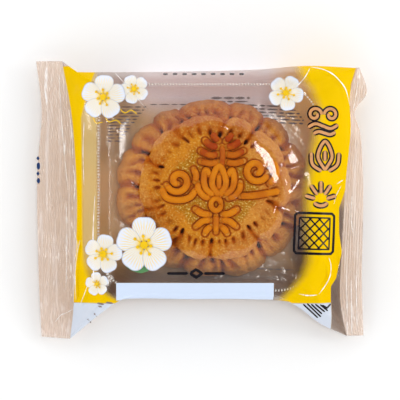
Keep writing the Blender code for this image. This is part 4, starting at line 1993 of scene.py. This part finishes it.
@dataclass(frozen=True)
class Blossom:
    """A five-petalled blossom of the print, sizes in millimetres and degrees."""

    pixel: Pair
    radius: float
    turn: float
    layer: int = 0
    petals: int = 5
    stamens: int = 7

    def petal_rows(self, centre: Array) -> list[tuple]:
        """Place, turn and size of each petal, each a little above the one before."""
        rows = []
        for k in range(self.petals):
            angle = math.radians(self.turn) + TAU * k / self.petals
            size = self.radius * (0.94 + 0.1 * math.sin(5.0 * angle + self.turn))
            rows.append((*centre, (0.16 * self.layer + 0.02 * k) * MM, angle, size * MM))
        return rows

    def stamen_ends(self) -> list[Array]:
        """Way from the middle to the end of each stamen, in metres."""
        ends = []
        for k in range(self.stamens):
            angle = math.radians(self.turn) + TAU * (k + 0.5) / self.stamens
            way = np.array([math.cos(angle), math.sin(angle)])
            ends.append(way * self.radius * (0.24 + 0.07 * (k % 3)) * MM)
        return ends


CLOUD_BADGE = (
    *Stroke(spiral(3.1, 1.1, -3.6, 3.2)).pair(),
    Stroke(((-6.8, -2.4), (-3.4, -0.8), (0.0, -1.8), (3.4, -2.8), (6.8, -1.2))),
    Stroke(((-4.4, -5.2), (-2.0, -4.2), (0.6, -4.8), (3.2, -5.4), (5.6, -4.4))),
)

BUD_BADGE = (
    Stroke(((0.0, -5.6), (-3.2, 0.6), (0.0, 7.0), (3.2, 0.6), (0.0, -5.6))),
    Stroke(((0.0, -1.6), (0.0, 3.0))),
    Stroke(((-1.6, -6.0), (-5.6, -3.0), (-6.2, 2.2))),
    Stroke(((1.6, -6.0), (5.6, -3.0), (6.4, 2.2))),
)

FAN_BADGE = (
    *(Stroke(tuple((wide * math.cos(turn), tall * math.sin(turn) - 3.6)
                   for wide, tall in ((2.6, 3.0), (5.0, 5.6), (7.4, 8.4))))
      for turn in np.radians((14, 52, 90, 128, 166))),
    Stroke(ring(3.4, 2.6, 0.0, -3.4, 205.0, 130.0)),
)


@dataclass
class Print:
    """Generic printed motifs of the packet and painted glints along the folds of its film."""

    drape: Drape
    black: InkFinish = InkFinish("black_print", srgb(18, 12, 20))
    tan: InkFinish = InkFinish("tan_print", srgb(212, 152, 98))
    gold: InkFinish = InkFinish("gold_print", srgb(242, 198, 24))
    green: InkFinish = InkFinish("green_print", srgb(92, 142, 92))
    grey: InkFinish = InkFinish("grey_print", srgb(132, 118, 118))
    blue: InkFinish = InkFinish("blue_print", srgb(34, 62, 112))
    # Painted highlights: a near-white ink for the glints on the film's folds
    crease_glint: InkFinish = InkFinish("painted_crease_glint", srgb(250, 246, 244), 0.2)

    blossoms: tuple[Blossom, ...] = (
        Blossom((134.0, 89.0), 7.4, 40.0), Blossom((103.0, 97.0), 10.2, 14.0, 1),
        Blossom((286.0, 93.0), 9.4, 62.0), Blossom((97.0, 284.0), 5.2, 25.0),
        Blossom((103.0, 254.0), 10.2, 80.0, 1), Blossom((144.0, 245.0), 12.4, 18.0, 2),
    )
    petal_thickness: float = 0.02
    heart_level: float = 0.62
    heart_thickness: float = 0.04
    heart_share: float = 0.14
    tip_share: float = 0.06
    ink_thickness: float = 0.06
    badge_half: float = 1.35
    badge_fill_half: float = 0.64

    # Lines of the print as pixels of the photograph
    badge_pixels: tuple = ((323.0, 122.0), (325.0, 157.5), (321.0, 192.0))
    lattice_pixel: tuple = (314.5, 233.5)
    lattice_half: float = 20.0
    rule: tuple = (((167, 273.5), (188, 273.5)), ((204, 273.5), (225, 273.5)),
                   ((190, 273.5), (196, 269.5), (202, 273.5), (196, 277.5), (190, 273.5)))
    far_dashes: tuple = (163.0, 248.0, 74.0, 9.5, 5.0)
    tendrils: tuple = (
        ((105, 117), (109, 122), (116, 120), (121, 124)),
        ((119, 108), (125, 113), (131, 110), (137, 114)), ((93, 117), (96, 123), (103, 122)),
    )
    leaf: tuple = ((126, 262), (134, 267), (141, 269), (150, 266))
    ear_bars: tuple = (((97, 303), (104, 304.5)), ((106, 302.5), (113, 303.5)),
                       ((98, 306), (102, 307)), ((87, 318), (91, 323)), ((94, 313), (97, 317)))
    ear_lines: tuple = (
        ((303, 304), (318, 318)), ((307, 303.5), (321, 317)), ((311, 304), (322, 314)),
        ((315, 304), (325, 312)), ((320, 304.5), (328, 311)),
    )
    ear_edge: tuple = ((322, 305), (327, 308), (331, 303.5))
    fin_dashes: tuple = (
        ((38, 156.5), (38, 160)), ((38.4, 162.5), (38.4, 169.5)), ((38, 171.5), (38, 175.5)),
        ((38.4, 178), (38.4, 183.5)),
    )

    # Rows of bars on the back: first and last x and y in pixels, half width in millimetres
    back_rows: tuple = (
        (211, 250, 98.0, 0.55), (213, 248, 101.6, 0.35), (246, 288, 105.0, 0.35),
        (250, 296, 108.5, 0.35), (256, 300, 112.0, 0.35), (262, 302, 115.5, 0.35),
        (268, 304, 119.0, 0.35), (274, 304, 122.5, 0.35), (150, 206, 104.5, 0.22),
        (256, 300, 268.5, 0.22),
        *((108 - 0.05 * (y - 105), 148 - 0.75 * (y - 105), y, 0.26)
          for y in np.arange(107.0, 142.0, 3.1)),
    )
    back_level: float = 0.32 * MM
    slanted_from: float = 240.0
    back_seed: int = 21

    # Painted glints along the film's folds, as pixels and half widths
    creases: tuple = (
        (((311, 67), (322, 69), (331, 73), (339, 80), (345, 88), (348, 97), (350, 106)), 0.34),
        (((310, 68), (305, 77), (298, 85), (290, 92), (282, 101)), 0.28),
        (((329, 258), (331, 266), (330, 276), (325, 286), (319, 294)), 0.26),
        (((95, 196), (93.5, 220), (93, 245), (94, 290)), 0.30),
        (((80, 240), (77, 255), (75, 275), (76, 300)), 0.24), (((74, 230), (77, 246), (74, 262)), 0.20),
        (((73, 165), (75, 182), (74, 202)), 0.28), (((69, 110), (72, 135), (73, 158)), 0.22),
        (((84, 122), (83, 150), (84, 185)), 0.18), (((55, 322), (61, 315), (66, 313), (73, 309)), 0.20),
        (((59, 74), (61, 110), (64, 150), (68, 190)), 0.20), (((66, 200), (67, 240), (66, 290)), 0.18),
        (((346, 275), (347, 300), (347, 334)), 0.22), (((351, 280), (352, 336)), 0.26),
        (((356, 275), (357, 330)), 0.20), (((352, 196), (351, 216), (353, 236)), 0.26),
        (((115, 73), (127, 86), (138, 99), (147, 110)), 0.24),
        (((88, 284), (84, 295), (80, 305)), 0.18), (((299, 294), (308, 295.5), (317, 295)), 0.3),
        (((358, 80), (356, 95), (353, 111)), 0.2), (((337, 184), (340, 182), (343, 180)), 0.3),
        (((341, 186), (336, 196), (334, 204)), 0.16),
    )

    def sweep(self, name: str, finish: InkFinish, lines: Sequence[tuple[Array, float]],
              level: float = 0.0) -> None:
        """Lay flat printed lines on the film.

        Args:
            name: Name of the piece.
            finish: Its ink.
            lines: Places along each line and its half width in millimetres.
            level: Height above the lowest layer, in millimetres.
        """
        widest = max(half for _, half in lines)
        swept = [Line(at_height(places, level * MM), round_ends(places, half * MM, half * MM))
                 for places, half in lines]
        self.drape.lay(Sweep(name, finish, 0.5 * self.ink_thickness / widest, 8).build(
            swept, Slot.PRINT))

    def drawn(self, lines: Sequence[Sequence[Pair]], half: float) -> list[tuple[Array, float]]:
        """Places along lines between pixels, all of one half width in millimetres."""
        return [(self.drape.line(line), half) for line in lines]

    def build_blossoms(self) -> None:
        """Petals, stamens and hearts of the blossoms, their tendrils and a leaf."""
        petals, hearts, threads = [], [], []
        for blossom in self.blossoms:
            centre = self.drape.at(blossom.pixel)
            petals += blossom.petal_rows(centre)
            for end in blossom.stamen_ends():
                threads.append((centre + end * np.linspace(0.1, 1.0, 7)[:, None], 0.17))
                hearts.append((*(centre + end), self.tip_share * blossom.radius * MM))
            hearts.append((*centre, self.heart_share * blossom.radius * MM))
        petals, hearts = np.array(petals), np.array(hearts)
        sizes = at_height(petals[:, [4, 4]], self.petal_thickness * MM)
        self.drape.lay(Scatter("blossoms", BlossomFinish()).build(
            unit_petal(), petals[:, :3], petals[:, 3], sizes, Slot.PRINT))
        self.sweep("stamens", self.gold, threads, 0.58)
        sizes = at_height(hearts[:, [2, 2]], self.heart_thickness * MM)
        self.drape.lay(Scatter("blossom_hearts", self.gold).build(
            unit_bead(), at_height(hearts[:, :2], self.heart_level * MM), np.zeros(len(hearts)),
            sizes, Slot.PRINT))
        curved = [curve_through(line, 12) for line in self.tendrils]
        self.sweep("tendrils", self.gold, self.drawn(curved, 0.2))
        self.sweep("leaf", self.green, self.drawn([self.leaf], 1.9), -0.02)

    def build_badges(self) -> None:
        """A cloud, a bud and a fan of petals in tan with black edges."""
        lines = []
        for pixel, strokes in zip(self.badge_pixels, (CLOUD_BADGE, BUD_BADGE, FAN_BADGE)):
            centre = self.drape.at(pixel)
            lines += [(stroke.path(centre), self.badge_half) for stroke in strokes]
        self.sweep("badge_edges", self.black, lines)
        filled = [(places, self.badge_fill_half) for places, _ in lines]
        self.sweep("badges", self.tan, filled, 0.08)

    def build_lattice(self) -> None:
        """Square of crossing bars in a rounded frame."""
        half = self.lattice_half * PHOTO.pixel / MM
        cut = 0.12 * half
        frame_line = ((-half + cut, half), (half - cut, half), (half, half - cut),
                      (half, -half + cut), (half - cut, -half), (-half + cut, -half),
                      (-half, -half + cut), (-half, half - cut), (-half + cut, half))
        inner = 0.78 * half
        bars = [((-inner, inner), (inner, inner), (inner, -inner), (-inner, -inner),
                 (-inner, inner))]
        for at in np.array((-1.2, -0.6, 0.0, 0.6, 1.2)) * inner:
            reach = inner - abs(at) / 2.0
            for way in (-1.0, 1.0):
                middle = np.array([at / 2.0, way * at / 2.0])
                step = np.array([reach, -way * reach])
                bars.append((middle - step, middle + step))
        centre, tilt = self.drape.at(self.lattice_pixel), math.radians(-2.0)
        spin = np.array([[math.cos(tilt), math.sin(tilt)], [-math.sin(tilt), math.cos(tilt)]])
        lines = [(centre + along_corners(np.array(bar) @ spin * MM), width)
                 for bar, width in ((frame_line, 0.55), *((bar, 0.34) for bar in bars))]
        self.sweep("lattice", self.black, lines)

    def build_rules(self) -> None:
        """Plain rules and bars where small print runs."""
        x0, x1, y, pitch, length = self.far_dashes
        dark = self.drawn(self.rule, 0.62)
        dark += [(self.drape.line(((x, y), (x + length, y)), 0.3), 0.5)
                 for x in np.arange(x0, x1, pitch)]
        dark += self.drawn(self.ear_lines, 0.36) + self.drawn([self.ear_edge], 0.4)
        self.sweep("rules", self.black, dark)
        self.sweep("ear_bars", self.grey, self.drawn(self.ear_bars, 0.4))
        self.sweep("fin_dashes", self.blue, self.drawn(self.fin_dashes, 0.7))

    def build_back_bars(self) -> None:
        """Rows of small grey bars on the inside of the back, seen past the cake."""
        random = np.random.default_rng(self.back_seed)
        lines = []
        for x0, x1, y, half in self.back_rows:
            x = float(x0)
            slant = 0.04 * (x0 > self.slanted_from)
            while x < x1:
                end = min(x1, x + random.uniform(4.0, 13.0))
                places = np.array([PHOTO.at(px, y + slant * (px - x0), height=0.0)
                                   for px in np.linspace(x, end, 4)])
                lines.append(Line(at_height(places, self.back_level),
                                  round_ends(places, half * MM, half * MM)))
                x = end + random.uniform(1.0, 2.0)
        Sweep("back_bars", self.grey, 0.08, 8).build(lines, Slot.PRINT)

    def build_crease_glints(self) -> None:
        """Painted glints: near-white lines along the folds of the film."""
        lines = []
        for pixels, half in self.creases:
            places = curve_through([self.drape.at(pixel) for pixel in pixels], 48)
            run = np.arange(len(places)) * 0.35
            uneven = 0.62 + 0.38 * soft_noise(run, run * 0.0 + half * 37.0, 1.0, 3)
            lines.append(Line(at_height(places, 0.0),
                              round_ends(places, half * MM, 4.0 * MM) * uneven))
        self.drape.lay(Sweep("creases", self.crease_glint, 0.3, 8).build(lines, Slot.FILM))

    def build(self) -> None:
        """Make everything that lies on the film."""
        self.build_blossoms()
        self.build_badges()
        self.build_lattice()
        self.build_rules()
        self.build_back_bars()
        self.build_crease_glints()


# The studio


@dataclass(frozen=True)
class SoftBox:
    """A rectangular lamp that faces the packet."""

    name: str
    turn: float
    lean: float
    distance: float
    size: Pair
    radiance: float

    def build(self) -> None:
        """Place the lamp."""
        lamp = bpy.data.lights.new(self.name, "AREA")
        lamp.shape = "RECTANGLE"
        lamp.size, lamp.size_y = self.size
        lamp.energy = self.radiance * math.pi * self.size[0] * self.size[1]
        turn, lean = math.radians(self.turn), math.radians(self.lean)
        out = Vector((math.sin(lean) * math.cos(turn), math.sin(lean) * math.sin(turn),
                      math.cos(lean)))
        item = link_new(self.name, lamp)
        item.location = out * self.distance
        item.rotation_euler = out.to_track_quat("Z", "Y").to_euler()
        item.visible_camera = False


@dataclass
class Studio:
    """Pale floor, soft light and the camera straight above."""

    floor_half: float = 6.0
    floor_height: float = -0.0004
    camera_height: float = 1.5
    camera_x: float = -0.00066
    lens: float = 305.0
    sky: float = 1.28
    overhead: float = 0.10
    overhead_range: Pair = (0.72, 0.92)
    lamps: tuple[SoftBox, ...] = (
        SoftBox("key", 8.0, 60.0, 1.7, (0.26, 0.24), 17.0),
        SoftBox("window", 28.0, 8.5, 1.75, (0.26, 0.22), 19.0),
        SoftBox("left_fill", 172.0, 76.0, 1.8, (0.3, 0.30), 9.0),
    )

    def build_floor(self) -> None:
        """A wide pale floor just under the packet."""
        corners = np.array([(-1, -1), (1, -1), (1, 1), (-1, 1)]) * self.floor_half
        floor = make_object("floor", at_height(corners, self.floor_height), [(0, 1, 2, 3)],
                            [FloorFinish().material()])

    def build_sky(self) -> None:
        """A white room that is dimmer straight above."""
        world = bpy.data.worlds.new("pale_room")
        world.use_nodes = True
        back = world.node_tree.nodes["Background"]
        back.inputs["Color"].default_value = (1.0, 1.0, 1.0, 1.0)
        graph = Graph(world.node_tree)
        way = graph.wire(graph.node("ShaderNodeTexCoord"), "Generated")
        height = graph.wire(graph.node("ShaderNodeSeparateXYZ", {0: way}), 2)
        level = graph.math("MULTIPLY_ADD", graph.ease(height, *self.overhead_range),
                           self.overhead - self.sky, self.sky)
        graph.feed(back.inputs["Strength"], level)
        bpy.context.scene.world = world

    def build_camera(self) -> None:
        """The camera, and how the picture is taken."""
        data = bpy.data.cameras.new("camera")
        data.lens = self.lens
        data.clip_end = 50.0
        camera = link_new("camera", data)
        camera.location = (self.camera_x, 0.0, self.camera_height)
        scene = bpy.context.scene
        scene.camera = camera
        scene.view_settings.view_transform = "Standard"
        scene.cycles.transparent_max_bounces = 20

    def build(self) -> None:
        """Make floor, lights, sky and camera."""
        self.build_floor()
        for lamp in self.lamps:
            lamp.build()
        self.build_sky()
        self.build_camera()


def main() -> None:
    """Build every piece in order."""
    logging.basicConfig(level=logging.INFO, format="%(name)s: %(message)s")
    Studio().build()
    Mooncake().build()
    Tray().build()
    film = FilmBag().build()
    Print(Drape(film)).build()


if __name__ == "__main__":
    main()
